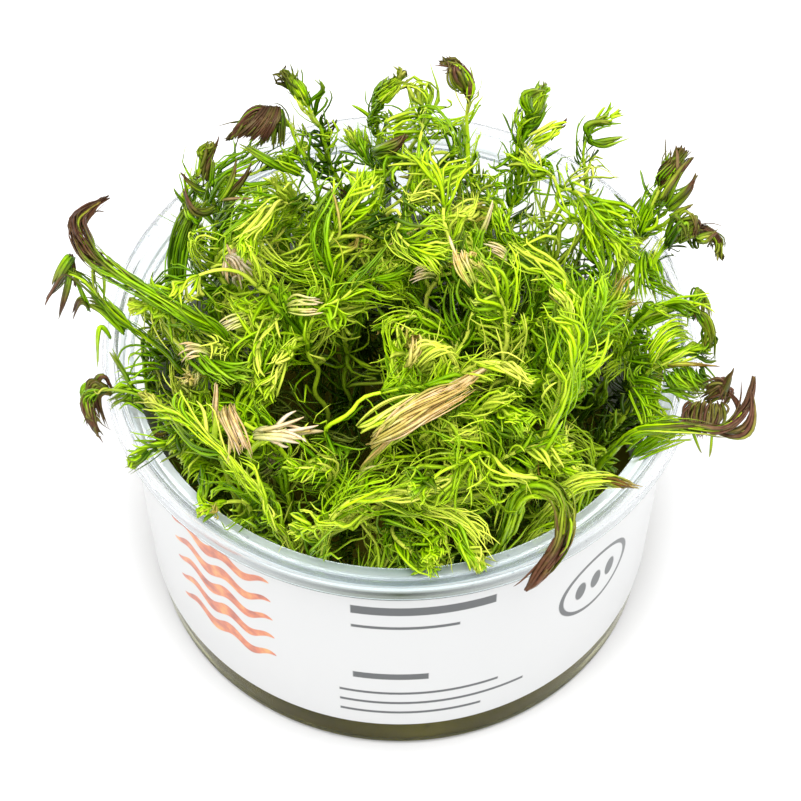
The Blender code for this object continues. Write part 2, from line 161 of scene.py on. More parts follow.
def turn_piece(name, profile, sides):
    """A closed round piece from (radius, height) points, extruded ring by ring from a circle."""
    start_fresh()
    radius, height = profile[0]
    bpy.ops.mesh.primitive_circle_add(vertices=sides, radius=radius, location=(0.0, 0.0, height))
    piece = bpy.context.object
    piece.name = name
    bpy.ops.object.transform_apply(location=True, rotation=True, scale=True)
    bpy.ops.object.mode_set(mode="EDIT")
    bpy.ops.mesh.select_all(action="SELECT")
    for new_radius, new_height in profile[1:]:
        rise = (0.0, 0.0, new_height - height)
        bpy.ops.mesh.extrude_region_move(TRANSFORM_OT_translate={"value": rise})
        grow = new_radius / radius
        bpy.ops.transform.resize(value=(grow, grow, 1.0), center_override=(0.0, 0.0, new_height))
        radius, height = new_radius, new_height
    bpy.ops.mesh.extrude_region_move(TRANSFORM_OT_translate={"value": (0.0, 0.0, 0.0)})
    bpy.ops.mesh.merge(type="CENTER")
    first_radius, first_height = profile[0]
    bpy.ops.mesh.select_all(action="DESELECT")
    select_ring(piece, first_height, first_radius, 1e-7)
    bpy.ops.mesh.extrude_region_move(TRANSFORM_OT_translate={"value": (0.0, 0.0, 0.0)})
    bpy.ops.mesh.merge(type="CENTER")
    bpy.ops.mesh.select_all(action="SELECT")
    bpy.ops.mesh.normals_make_consistent(inside=False)
    bpy.ops.object.mode_set(mode="OBJECT")
    return piece


def triangles(piece):
    """How many triangles a piece has."""
    return sum(len(face.vertices) - 2 for face in piece.data.polygons)


# %% [markdown]
# ## The cup
# The cup is thin clear plastic: a flat base, a wall that widens a little, and a rolled rim with a
# step inside it where a lid would sit. All of its section comes from a few named sizes. A Bevel
# modifier rounds the turned corners, because moulded plastic has no knife edges, and it is those
# rounded corners that catch the light as thin lines.

# %% Model the cup
BASE_RADIUS = 43.4
HEEL_RADIUS = 44.2
HEEL_HEIGHT = 1.2
HEEL_CORNER = 0.4
WALL_TOP_RADIUS = 46.3
WALL = 0.7
RIM_RADIUS = 50.0
RIM_TOP = 60.5
STEP_HEIGHT = 59.2
LEDGE_RADIUS = 47.8
SKIRT_BOTTOM = 57.9
GROOVE_DEPTH = 0.25
MOUTH_LIP = 1.0
BASE_THICKNESS = 0.8
CLEAR_BAND = 9.5
GLOW_BOTTOM = 38.0
RIM_BOTTOM = 56.0


def wall_radius(height):
    """Outer radius of the wall, which widens evenly from the heel to the rim."""
    share = (height - HEEL_HEIGHT) / (STEP_HEIGHT - WALL - HEEL_HEIGHT)
    return HEEL_RADIUS + (WALL_TOP_RADIUS - HEEL_RADIUS) * share


cup_section = [
    (BASE_RADIUS, 0.0),
    (HEEL_RADIUS - HEEL_CORNER, HEEL_CORNER),
    (HEEL_RADIUS, HEEL_HEIGHT),
    (wall_radius(CLEAR_BAND), CLEAR_BAND),
    (wall_radius(GLOW_BOTTOM), GLOW_BOTTOM),
    (wall_radius(RIM_BOTTOM), RIM_BOTTOM),
    (WALL_TOP_RADIUS, STEP_HEIGHT - WALL),
    (LEDGE_RADIUS, STEP_HEIGHT - WALL),
    (LEDGE_RADIUS, RIM_TOP - WALL),
    (RIM_RADIUS - WALL, RIM_TOP - WALL),
    (RIM_RADIUS - WALL, SKIRT_BOTTOM),
    (RIM_RADIUS, SKIRT_BOTTOM),
    (RIM_RADIUS, 59.8),
    (49.5, RIM_TOP),
    (49.0, RIM_TOP),
    (48.85, RIM_TOP - GROOVE_DEPTH),
    (47.95, RIM_TOP - GROOVE_DEPTH),
    (LEDGE_RADIUS, RIM_TOP),
    (47.4, RIM_TOP),
    (47.1, STEP_HEIGHT),
    (WALL_TOP_RADIUS - WALL - MOUTH_LIP, STEP_HEIGHT),
    (WALL_TOP_RADIUS - WALL - MOUTH_LIP, STEP_HEIGHT - WALL),
    (WALL_TOP_RADIUS - WALL - 0.1, 57.7),
    (wall_radius(RIM_BOTTOM) - WALL, RIM_BOTTOM),
    (wall_radius(GLOW_BOTTOM) - WALL, GLOW_BOTTOM),
    (wall_radius(CLEAR_BAND) - WALL, CLEAR_BAND),
    (HEEL_RADIUS - WALL, HEEL_HEIGHT),
    (BASE_RADIUS, BASE_THICKNESS),
]
cup = turn_piece("clear_cup", [(r * MM, z * MM) for r, z in cup_section], 192)
rounding = cup.modifiers.new("rounded_corners", "BEVEL")
rounding.width = 0.16 * MM
rounding.segments = 2
rounding.limit_method = "ANGLE"
rounding.angle_limit = math.radians(20)
start_fresh()
cup.select_set(True)
bpy.context.view_layer.objects.active = cup
bpy.ops.object.modifier_apply(modifier="rounded_corners")
bpy.ops.object.shade_smooth_by_angle(angle=math.radians(45))
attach(cup, "root")
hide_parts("cup")
print("cup:", triangles(cup), "triangles")

# %% [markdown]
# ## The gel
# The nutrient gel was poured in warm, so it fills the base to the wall and creeps up it a little.
# A low ring at its edge and a top that dips and swells a fraction of a millimetre show that.

# %% Model the gel
GEL_TOP = 10.0
GEL_GAP = 0.15
gel_section = [
    (BASE_RADIUS - 0.15, 0.95),
    (HEEL_RADIUS - WALL - GEL_GAP, 1.4),
    (wall_radius(6) - WALL - GEL_GAP, 6.0),
    (wall_radius(10) - WALL - GEL_GAP, GEL_TOP + 0.2),
    (wall_radius(10) - WALL - 1.0, GEL_TOP - 0.1),
    (38.0, GEL_TOP - 0.25),
    (20.0, GEL_TOP - 0.15),
]
gel = turn_piece("nutrient_gel", [(r * MM, z * MM) for r, z in gel_section], 96)
start_fresh()
gel.select_set(True)
bpy.context.view_layer.objects.active = gel
bpy.ops.object.shade_smooth_by_angle(angle=math.radians(35))
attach(gel, "root")
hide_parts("gel")
print("gel:", triangles(gel), "triangles")

# %% [markdown]
# ## The label
# The label is a white plastic film that wraps the wall and nearly meets itself at the back. A tube
# primitive is scaled to the wall's taper, the strip at the back is deleted for the seam, and
# Solidify gives the film its thickness. Its map runs in millimetres round the wall from the front,
# so that what is printed on it keeps its size.

# %% Model the label
LABEL_BOTTOM = 8.8
LABEL_TOP = 55.5
LABEL_GAP = 0.3
LABEL_THICKNESS = 0.3
SEAM_WIDTH = 1.5
SEAM_REACH = 0.9

start_fresh()
low_radius = (wall_radius(LABEL_BOTTOM) + LABEL_GAP) * MM
high_radius = (wall_radius(LABEL_TOP) + LABEL_GAP) * MM
bpy.ops.mesh.primitive_cone_add(
    vertices=192,
    radius1=low_radius,
    radius2=high_radius,
    depth=(LABEL_TOP - LABEL_BOTTOM) * MM,
    end_fill_type="NOTHING",
    location=(0.0, 0.0, 0.5 * (LABEL_TOP + LABEL_BOTTOM) * MM),
)
label = bpy.context.object
label.name = "label_film"
bpy.ops.object.transform_apply(location=True, rotation=True, scale=True)
bpy.ops.object.mode_set(mode="EDIT")
bpy.ops.mesh.select_all(action="DESELECT")
band = bmesh.from_edit_mesh(label.data)
for face in band.faces:
    middle = face.calc_center_median()
    if middle.y > 0 and abs(middle.x) < SEAM_REACH * MM:
        face.select = True
bmesh.update_edit_mesh(label.data)
bpy.ops.mesh.delete(type="FACE")
bpy.ops.object.mode_set(mode="OBJECT")
film = label.modifiers.new("film_thickness", "SOLIDIFY")
film.thickness = LABEL_THICKNESS * MM
film.offset = 1.0
bpy.context.view_layer.objects.active = label
bpy.ops.object.modifier_apply(modifier="film_thickness")
bpy.ops.object.shade_smooth_by_angle(angle=math.radians(35))

print_map = label.data.uv_layers.new(name="print_map")
for loop in label.data.loops:
    x, y, z = label.data.vertices[loop.vertex_index].co
    around = math.atan2(x, -y) * WALL_TOP_RADIUS
    print_map.data[loop.index].uv = (around, z / MM - LABEL_BOTTOM)
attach(label, "root")
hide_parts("label")
print("label:", triangles(label), "triangles")

# %% [markdown]
# ## One needle leaf
# Every leaf is the same thing: a soft needle about ten times as long as it is wide, broadest below
# its middle, with a raised middle rib. It is modelled once, a single unit long: a three-sided
# cylinder is cut into rings with Bisect, each ring is scaled to the leaf's width there, it is
# flattened, and the end ring is merged into the tip. Three sides are a flat back and a ridge, and
# they leave room for more rings, which is what makes a curved leaf look smooth.

# %% Model the leaf, the strand and the stem
LEAF_RINGS = [0.0, 0.1, 0.23, 0.37, 0.52, 0.67, 0.81, 0.93, 1.0]
LEAF_WIDTHS = [0.62, 0.85, 0.98, 1.0, 0.97, 0.88, 0.7, 0.42, 0.0]
STRAND_RINGS = [0.0, 0.08, 0.18, 0.28, 0.39, 0.5, 0.61, 0.72, 0.82, 0.91, 0.97, 1.0]
STRAND_WIDTHS = [0.5, 0.8, 0.95, 1.0, 1.0, 1.0, 0.96, 0.88, 0.74, 0.52, 0.3, 0.0]
FLATNESS = 0.36


def model_blade(name, rings, widths):
    """A closed needle one unit long up Z and one wide, with a ring of three corners at each height."""
    start_fresh()
    bpy.ops.mesh.primitive_cylinder_add(
        vertices=3, radius=0.5, depth=1.0, end_fill_type="NGON", location=(0.0, 0.0, 0.5)
    )
    blade = bpy.context.object
    blade.name = name
    bpy.ops.object.transform_apply(location=True, rotation=True, scale=True)
    bpy.ops.object.mode_set(mode="EDIT")
    for height in rings[1:-1]:
        bpy.ops.mesh.select_all(action="SELECT")
        bpy.ops.mesh.bisect(plane_co=(0.0, 0.0, height), plane_no=(0.0, 0.0, 1.0))
    for height, width in zip(rings[:-1], widths[:-1]):
        select_ring(blade, height, 0.5, 1e-4)
        bpy.ops.transform.resize(value=(width, width, 1.0), center_override=(0.0, 0.0, height))
    select_ring(blade, 1.0, 0.5, 1e-4)
    bpy.ops.mesh.merge(type="CENTER")
    bpy.ops.mesh.select_all(action="SELECT")
    bpy.ops.transform.resize(value=(1.0, FLATNESS, 1.0), center_override=(0.0, 0.0, 0.0))
    bpy.ops.mesh.quads_convert_to_tris()
    bpy.ops.mesh.normals_make_consistent(inside=False)
    bpy.ops.object.mode_set(mode="OBJECT")
    return blade


def read_pattern(item, rings):
    """Corners, triangles, each corner's ring and where the ridge is; the model is put away."""
    corners = np.array([corner.co for corner in item.data.vertices])
    faces = np.array([face.vertices for face in item.data.polygons])
    ring = np.abs(corners[:, 2][:, None] - np.array(rings)[None]).argmin(axis=1)
    mesh = item.data
    bpy.data.objects.remove(item)
    bpy.data.meshes.remove(mesh)
    ridge = (corners[:, 1] > 0.01).astype(float)
    return {"corners": corners, "faces": faces, "ring": ring, "rings": np.array(rings), "ridge": ridge}


leaf = read_pattern(model_blade("leaf_pattern", LEAF_RINGS, LEAF_WIDTHS), LEAF_RINGS)
strand = read_pattern(model_blade("strand_pattern", STRAND_RINGS, STRAND_WIDTHS), STRAND_RINGS)
print("leaf:", len(leaf["faces"]), "triangles, strand:", len(strand["faces"]), "triangles")

# %% The stem pattern
WHORLS = 26
STEM_SIDES = 6

stem_heights, stem_radii = [], []
for whorl in range(WHORLS):
    stem_heights += [whorl / WHORLS, (whorl + 0.5) / WHORLS]
    stem_radii += [1.07, 0.95]
stem_heights.append(1.0)
stem_radii.append(0.6)
stem_model = turn_piece("stem_pattern", list(zip(stem_radii, stem_heights)), STEM_SIDES)
bpy.ops.object.mode_set(mode="EDIT")
bpy.ops.mesh.select_all(action="SELECT")
bpy.ops.mesh.quads_convert_to_tris()
bpy.ops.object.mode_set(mode="OBJECT")
stem = read_pattern(stem_model, stem_heights)
stem["ridge"] = np.ones(len(stem["corners"]))
print("stem:", len(stem["faces"]), "triangles")

# %% [markdown]
# ## Following the shoots
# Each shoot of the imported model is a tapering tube, made of rings of corners from the gel to the
# tip. Walking over its mesh from the lowest ring gives the middle of every ring, and a smooth line
# through those is the stem. At each step of the line, three arrows say which way is along it, and
# two ways that are across it, so that a leaf can be placed by how far along and how far round it is.

# %% Trace a shoot
LINE_STEPS = 120


def ring_centres(name):
    """Middle and width of each ring of a shoot in the frame, from the gel up, in millimetres."""
    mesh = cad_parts[name].data
    places = np.array([corner.co for corner in mesh.vertices]) / MM
    whole, index = np.unique(np.round(places, 3), axis=0, return_inverse=True)
    index = index.reshape(-1)
    near = {number: set() for number in range(len(whole))}
    for face in mesh.polygons:
        a, b, c = (int(index[v]) for v in face.vertices)
        near[a] |= {b, c}
        near[b] |= {a, c}
        near[c] |= {a, b}
    layer = set(np.flatnonzero(whole[:, 2] < whole[:, 2].min() + 0.02).tolist())
    seen, middles, widths = set(layer), [], []
    while layer:
        ring = whole[sorted(layer)]
        middles.append(ring.mean(axis=0))
        widths.append(np.linalg.norm(ring - ring.mean(axis=0), axis=1).max())
        layer = {n for v in layer for n in near[v]} - seen
        seen |= layer
    return np.array(middles), np.array(widths)


def line_through(points, widths, steps):
    """A line through close points: places, distances, widths and three arrows at even steps."""
    walked = np.concatenate([[0.0], np.cumsum(np.linalg.norm(np.diff(points, axis=0), axis=1))])
    at = np.linspace(0, walked[-1], steps)
    place = np.column_stack([np.interp(at, walked, points[:, axis]) for axis in range(3)])
    along = np.gradient(place, axis=0)
    along /= np.linalg.norm(along, axis=1)[:, None]
    side = np.zeros_like(along)
    side[0] = np.cross(along[0], (0.13, 0.96, 0.24))
    side[0] /= np.linalg.norm(side[0])
    for step in range(1, steps):
        arrow = side[step - 1] - along[step] * side[step - 1].dot(along[step])
        side[step] = arrow / np.linalg.norm(arrow)
    line = {"at": at, "place": place, "along": along, "side": side, "other": np.cross(along, side)}
    line["width"] = np.interp(at, walked, widths)
    return line


def trace_shoot(name):
    """A smooth line along a shoot of the frame."""
    middles, widths = ring_centres(name)
    chain = np.vstack([2 * middles[0] - middles[1], middles, 2 * middles[-1] - middles[-2]])
    fine, fine_width = [], []
    for number in range(len(middles) - 1):
        a, b, c, d = chain[number : number + 4]
        for t in np.linspace(0, 1, 12, endpoint=False):
            curve = b + 0.5 * t * (c - a) + t * t * (a - 2.5 * b + 2 * c - 0.5 * d)
            fine.append(curve + t**3 * (1.5 * (b - c) + 0.5 * (d - a)))
            fine_width.append(widths[number] * (1 - t) + widths[number + 1] * t)
    fine.append(middles[-1])
    fine_width.append(widths[-1])
    return line_through(np.array(fine), np.array(fine_width), LINE_STEPS)


def wander(line, amount, rng):
    """The same line with soft kinks to either side of it, since no stem grows straight."""
    at = line["at"]
    offset = np.zeros_like(line["place"])
    for arrow in ("side", "other"):
        wave = np.zeros(len(at))
        for length, share in ((34.0, 0.55), (17.0, 0.35), (9.0, 0.16)):
            length = length * rng.uniform(0.8, 1.25)
            wave += share * np.sin(2 * math.pi * (at / length + rng.uniform(0, 1)))
        offset += line[arrow] * wave[:, None]
    held = np.clip(at / 14.0, 0, 1) * (1 - 0.5 * np.clip((at - at[-1] + 8) / 8, 0, 1))
    return line_through(line["place"] + amount * offset * held[:, None], line["width"], LINE_STEPS)


shoot_names = sorted(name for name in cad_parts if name.startswith("shoot"))
lines = {name: trace_shoot(name) for name in shoot_names}
print("shoots:", len(lines), "longest", round(max(line["at"][-1] for line in lines.values())), "mm")

# %% Place points round a shoot's line
def read_line(line, field, distance):
    """One of the line's values at these distances along it."""
    values = [np.interp(distance, line["at"], line[field][:, axis]) for axis in range(3)]
    return np.stack(values, axis=-1)


def round_line(line, distance, reach, turn):
    """Points that lie this far along a shoot, this far out from it and turned this far round it."""
    end = line["at"][-1]
    middle = read_line(line, "place", distance)
    middle = middle + line["along"][-1] * np.maximum(distance - end, 0.0)[..., None]
    side = read_line(line, "side", distance)
    other = read_line(line, "other", distance)
    out = side * np.cos(turn)[..., None] + other * np.sin(turn)[..., None]
    return middle + out * reach[..., None]


STRAY_REACH = 1.8
ON_RIM = 61.0
OUTSIDE_RIM = 50.4
ABOVE_GEL = 10.4


def stay_in_reach(points):
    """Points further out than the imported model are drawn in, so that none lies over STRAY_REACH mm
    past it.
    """
    low, high = np.array(cad_low) / MM, np.array(cad_high) / MM
    over = np.maximum(points - high, 0)
    under = np.maximum(low - points, 0)
    inside = points - over + under
    above = STRAY_REACH * (1 - np.exp(-over / STRAY_REACH))
    below = STRAY_REACH * (1 - np.exp(-under / STRAY_REACH))
    return inside + above - below


def keep_clear(points, homes):
    """Leaves bend away from the cup's wall, lie on its rim and stay above the gel."""
    points = points.copy()
    radius = np.hypot(points[..., 0], points[..., 1])
    height = points[..., 2]
    home_radius = np.hypot(homes[..., 0], homes[..., 1])
    inner = wall_radius(np.clip(height, 0, 58.5)) - WALL - MOUTH_LIP - 0.3
    from_inside = (homes[..., 2] < 60.0) & (home_radius < 48)
    too_far = from_inside & (height < ON_RIM) & (radius > inner)
    shrink = np.where(too_far, inner / np.maximum(radius, 0.001), 1.0)
    points[..., 0] *= shrink
    points[..., 1] *= shrink
    on_rim = ~from_inside & (radius > inner) & (radius < OUTSIDE_RIM) & (height < ON_RIM)
    points[..., 2] = np.where(on_rim, ON_RIM, np.maximum(points[..., 2], ABOVE_GEL))
    return stay_in_reach(points)


# %% [markdown]
# ## Bending one pattern into many
# A leaf is given as a path, with one point for each ring of the pattern. Its rings are set across
# that path, at the leaf's own width. Doing this for all leaves of a shoot at once, in arrays, takes
# a moment, and the result is one joined mesh with thousands of faces and a single name.

# %% Bend patterns along paths
def bend_pattern(pattern, paths, widths, outward, roll):
    """Corners of one copy of the pattern per path, with its flat side facing outward.

    The pattern's X is turned round, since across, through and along make a left-handed set, which
    would otherwise turn every face inside out.
    """
    along = np.gradient(paths, axis=1)
    along /= np.maximum(np.linalg.norm(along, axis=2, keepdims=True), 1e-6)
    across = np.cross(along, outward[:, None, :])
    across /= np.maximum(np.linalg.norm(across, axis=2, keepdims=True), 1e-6)
    through = np.cross(across, along)
    turned = across * np.cos(roll)[..., None] + through * np.sin(roll)[..., None]
    through = np.cross(turned, along)
    ring = pattern["ring"]
    x, y = -pattern["corners"][:, 0], pattern["corners"][:, 1]
    sideways = turned[:, ring] * (x[None] * widths[:, None])[..., None]
    upwards = through[:, ring] * (y[None] * widths[:, None])[..., None]
    return paths[:, ring] + sideways + upwards


def copy_faces(pattern, count, first):
    """The pattern's triangles, once for each copy, numbered from the first corner on."""
    steps = first + np.arange(count) * len(pattern["corners"])
    return (pattern["faces"][None] + steps[:, None, None]).reshape(-1, 3)


class ShootMesh:
    """Collects the corners, faces and marks of one shoot, then makes its mesh."""

    def __init__(self):
        self.corners, self.faces, self.marks, self.finish = [], [], [], []
        self.ridges = []
        self.count = 0

    def add(self, pattern, corners, marks, finish):
        copies = len(corners)
        faces = copy_faces(pattern, copies, self.count)
        self.corners.append(corners.reshape(-1, 3))
        self.marks.append(marks.reshape(-1, 4))
        self.ridges.append(np.tile(pattern["ridge"], copies))
        self.faces.append(faces)
        self.finish.append(np.full(len(faces), finish))
        self.count += copies * len(pattern["corners"])

    def build(self, name, materials):
        corners = np.concatenate(self.corners) * MM
        faces = np.concatenate(self.faces)
        mesh = bpy.data.meshes.new(name)
        mesh.vertices.add(len(corners))
        mesh.vertices.foreach_set("co", corners.astype(np.float32).ravel())
        mesh.loops.add(len(faces) * 3)
        mesh.loops.foreach_set("vertex_index", faces.astype(np.int32).ravel())
        mesh.polygons.add(len(faces))
        mesh.polygons.foreach_set("loop_start", np.arange(0, len(faces) * 3, 3, dtype=np.int32))
        mesh.polygons.foreach_set("material_index", np.concatenate(self.finish).astype(np.int32))
        marks = mesh.attributes.new("leaf_marks", "FLOAT_COLOR", "POINT")
        marks.data.foreach_set("color", np.concatenate(self.marks).astype(np.float32).ravel())
        ridge = mesh.attributes.new("leaf_ridge", "FLOAT", "POINT")
        ridge.data.foreach_set("value", np.concatenate(self.ridges).astype(np.float32))
        mesh.update(calc_edges=True)
        mesh.shade_smooth()
        for material in materials:
            mesh.materials.append(material)
        piece = bpy.data.objects.new(name, mesh)
        bpy.context.scene.collection.objects.link(piece)
        return piece


def marks_for(pattern, tone, browning, shade):
    """Four marks per corner: how far along the leaf, its tone, how brown and its painted shade."""
    count = len(tone)
    share = np.broadcast_to(pattern["rings"][pattern["ring"]][None], (count, len(pattern["ring"])))
    rows = [share]
    for value in (tone, browning, shade):
        value = np.asarray(value, float)
        if value.ndim == 1:
            value = np.broadcast_to(value[:, None], share.shape)
        else:
            value = value[:, pattern["ring"]]
        rows.append(value)
    return np.stack(rows, axis=-1)


# %% [markdown]
# ## Growing a shoot
# Rotala carries its leaves in whorls: eight to eleven needles round the stem at each joint, close
# together near the tip and further apart below. These shoots are damp, so neighbouring needles
# cling together in pointed locks that all curve one way, and a few locks have dried to straw.
# Each needle is laid out on its own, and then drawn part of the way to the path of its lock. Fixed
# seeds keep every run the same. A few gaps are kept open between the shoots, where one looks down
# into the dark of the tuft or through to the bright wall behind it.

# %% Gaps in the tuft
OPEN_SHAFT = ((-8.0, -16.0, 10.0), (-8.0, -16.0, 96.0), 4.2)
GAPS = [
    OPEN_SHAFT,
    ((-16.1, -3.8, 50.0), (-14.2, -36.6, 96.0), 4.6),
    ((-11.3, -4.9, 50.0), (-10.0, -37.5, 96.0), 5.4),
    ((-8.4, -10.3, 50.0), (-7.4, -42.3, 96.0), 3.4),
    ((-9.4, -33.7, 50.0), (-8.3, -62.9, 96.0), 1.6),
    ((23.8, -11.1, 50.0), (21.1, -43.0, 96.0), 1.6),
    ((-4.2, 3.2, 55.0), (-3.7, -27.1, 96.0), 1.6),
    ((9.5, 10.7, 55.0), (8.5, -20.4, 96.0), 1.4),
    ((-27.7, -26.2, 50.0), (-24.5, -56.4, 96.0), 1.4),
    ((7.1, -19.4, 50.0), (6.3, -50.4, 96.0), 1.4),
    ((2.6, 68.2, 30.0), (2.2, 11.9, 96.0), 1.2),
    ((7.7, 66.4, 30.0), (6.5, 10.5, 96.0), 1.5),
    ((-1.2, 53.5, 30.0), (-1.0, -0.4, 96.0), 1.3),
    ((0.8, 60.3, 30.0), (0.7, 5.3, 96.0), 1.3),
    ((3.1, 50.6, 30.0), (2.6, -2.9, 96.0), 1.1),
    ((31.9, 47.2, 30.0), (26.8, -5.7, 96.0), 1.3),
    ((-21.1, 69.2, 30.0), (-17.7, 12.8, 96.0), 1.3),
    ((-28.7, 61.2, 30.0), (-24.1, 6.1, 96.0), 1.2),
    ((43.6, 34.1, 30.0), (36.6, -16.7, 96.0), 1.3),
    ((48.2, 60.3, 30.0), (40.5, 5.3, 96.0), 1.2),
    ((29.4, 74.4, 30.0), (24.7, 17.2, 96.0), 1.1),
    ((28.6, 52.7, 30.0), (24.0, -1.1, 96.0), 1.1),
    ((49.1, 38.3, 30.0), (41.3, -13.2, 96.0), 1.8),
    ((48.1, 25.4, 30.0), (40.4, -24.1, 96.0), 1.7),
    ((49.0, 33.1, 30.0), (41.2, -17.5, 96.0), 1.2),
    ((10.5, 77.0, 30.0), (8.8, 19.3, 96.0), 1.0),
    ((-28.7, 2.5, 78.0), (-27.3, -11.6, 96.0), 2.4),
    ((-25.6, -0.8, 78.0), (-24.4, -14.8, 96.0), 2.2),
    ((-15.0, -7.7, 79.5), (-14.4, -20.2, 96.0), 2.0),
    ((2.7, -0.6, 78.0), (2.5, -14.6, 96.0), 1.6),
    ((15.8, 2.2, 81.5), (15.2, -9.3, 96.0), 1.6),
    ((-33.0, -13.2, 74.5), (-31.0, -29.0, 96.0), 2.4),
    ((-27.2, -5.8, 72.5), (-25.5, -23.5, 96.0), 2.2),
    ((-1.3, 25.1, 80.5), (-1.2, 11.9, 96.0), 1.6),
]


def in_gap(paths):
    """Which paths pass through one of the gaps between the shoots, where few leaves cross."""
    inside = np.zeros(len(paths), bool)
    for low, high, radius in GAPS:
        low, high = np.array(low), np.array(high)
        size = np.linalg.norm(high - low)
        way = (high - low) / size
        from_low = paths - low
        off = from_low - np.clip(from_low @ way, 0, size)[..., None] * way
        inside |= np.linalg.norm(off, axis=2).min(axis=1) < radius
    return inside


# %% Joints and stems
# Painted shade darkens the leaves below these heights in the tuft, fully below the lower one.
SHADE_LOW, SHADE_HIGH = 38, 66


def smooth_step(value, low, high):
    """0 below low, 1 above high, and an easy slope between them."""
    t = np.clip((value - low) / (high - low), 0.0, 1.0)
    return t * t * (3 - 2 * t)


def whorl_places(line, start):
    """Distances of the joints along the stem, crowded towards the tip."""
    share = 1 - (1 - np.linspace(0, 1, WHORLS + 1)) ** 1.35
    return start + (line["at"][-1] - start) * share


def shade_at(height):
    """How much painted shade a height in the tuft gets: 1 at the gel and 0 at the top."""
    return 1 - smooth_step(height, SHADE_LOW, SHADE_HIGH)


def grow_stem(shoot, line, look):
    """The stem, with a swollen joint at each whorl."""
    joints = whorl_places(line, look["start"])
    heights = stem["rings"]
    distance = np.interp(heights, np.linspace(0, 1, WHORLS + 1), joints)
    distance[0] = 0.0
    taper = 1.0 - 0.55 * smooth_step(heights, 0.45, 1.0)
    place = read_line(line, "place", distance)
    along = read_line(line, "along", distance)
    side = read_line(line, "side", distance)
    other = np.cross(along, side)
    ring = stem["ring"]
    x = stem["corners"][:, 0] * look["stem"] * taper[ring]
    y = stem["corners"][:, 1] * look["stem"] * taper[ring]
    corners = place[ring] + side[ring] * x[:, None] + other[ring] * y[:, None]
    brown = look["browning"] * smooth_step(heights, look["brown_from"] - 0.1, 1.0)
    shade = shade_at(place[:, 2])
    marks = marks_for(stem, np.array([look["stem_tone"]]), brown[None], shade[None])
    shoot.add(stem, corners[None], marks, 1)


# %% Paths of needles
def lay_out(line, t, base, length, first, last, turn, sweep, limit):
    """Paths of needles that leave the stem at one angle and end at another."""
    angle = first[:, None] + (last - first)[:, None] * t[None]
    middle = 0.5 * (angle[:, 1:] + angle[:, :-1])
    step = np.diff(t)[None]
    zero = np.zeros((len(base), 1))
    ahead = np.concatenate([zero, np.cumsum(np.cos(middle) * step, axis=1)], axis=1)
    aside = np.concatenate([zero, np.cumsum(np.sin(middle) * step, axis=1)], axis=1)
    distance = np.maximum(base[:, None] + ahead * length[:, None], 0)
    reach = 0.3 + aside * length[:, None]
    reach = reach / (1 + (np.maximum(reach, 0) / limit[:, None]) ** 4) ** 0.25
    turns = turn[:, None] + sweep[:, None] * t[None] ** 1.5
    return round_line(line, distance, reach, turns)


def bend_away(paths, t, length, sway, hook):
    """Bends each path by its own two arrows, one early and one late along it."""
    size = length[:, None, None] / 10
    early = sway[:, None, :] * t[None, :, None] ** 2
    late = hook[:, None, :] * t[None, :, None] ** 4
    return paths + (early + late) * size


def angles_for(look, share, rng, wild):
    """First and last angle of needles at these shares of a shoot, in radians."""
    near_tip = smooth_step(share, 0.8, 1.0)
    count = len(share)
    first = math.radians(look["open"]) * (1 - 0.62 * near_tip) + rng.normal(0, 0.2, count)
    turn = np.radians(look["curl"] * (1 - 0.4 * near_tip)) + rng.normal(0, wild, count)
    return first, first + turn


# %% Locks of needles
def share_locks(turn, whorl, look, rng):
    """Number of the lock that each needle belongs to: near neighbours round and along the stem."""
    band = whorl // look["span"]
    from_turn = (turn + rng.uniform(0, 2 * math.pi, band.max() + 1)[band]) % (2 * math.pi)
    sector = np.minimum((from_turn * look["locks"] / (2 * math.pi)).astype(int), look["locks"] - 1)
    return np.unique(band * look["locks"] + sector, return_inverse=True)[1].reshape(-1)


def rank_in_lock(lock, rng):
    """Each needle's place in the row of its lock, counted from the middle of the row."""
    order = np.argsort(lock + rng.uniform(0, 0.9, len(lock)))
    members = np.bincount(lock)
    starts = np.concatenate([[0], np.cumsum(members)[:-1]])
    rank = np.empty(len(lock))
    rank[order] = np.arange(len(lock)) - starts[lock[order]]
    return rank - 0.5 * (members[lock] - 1)


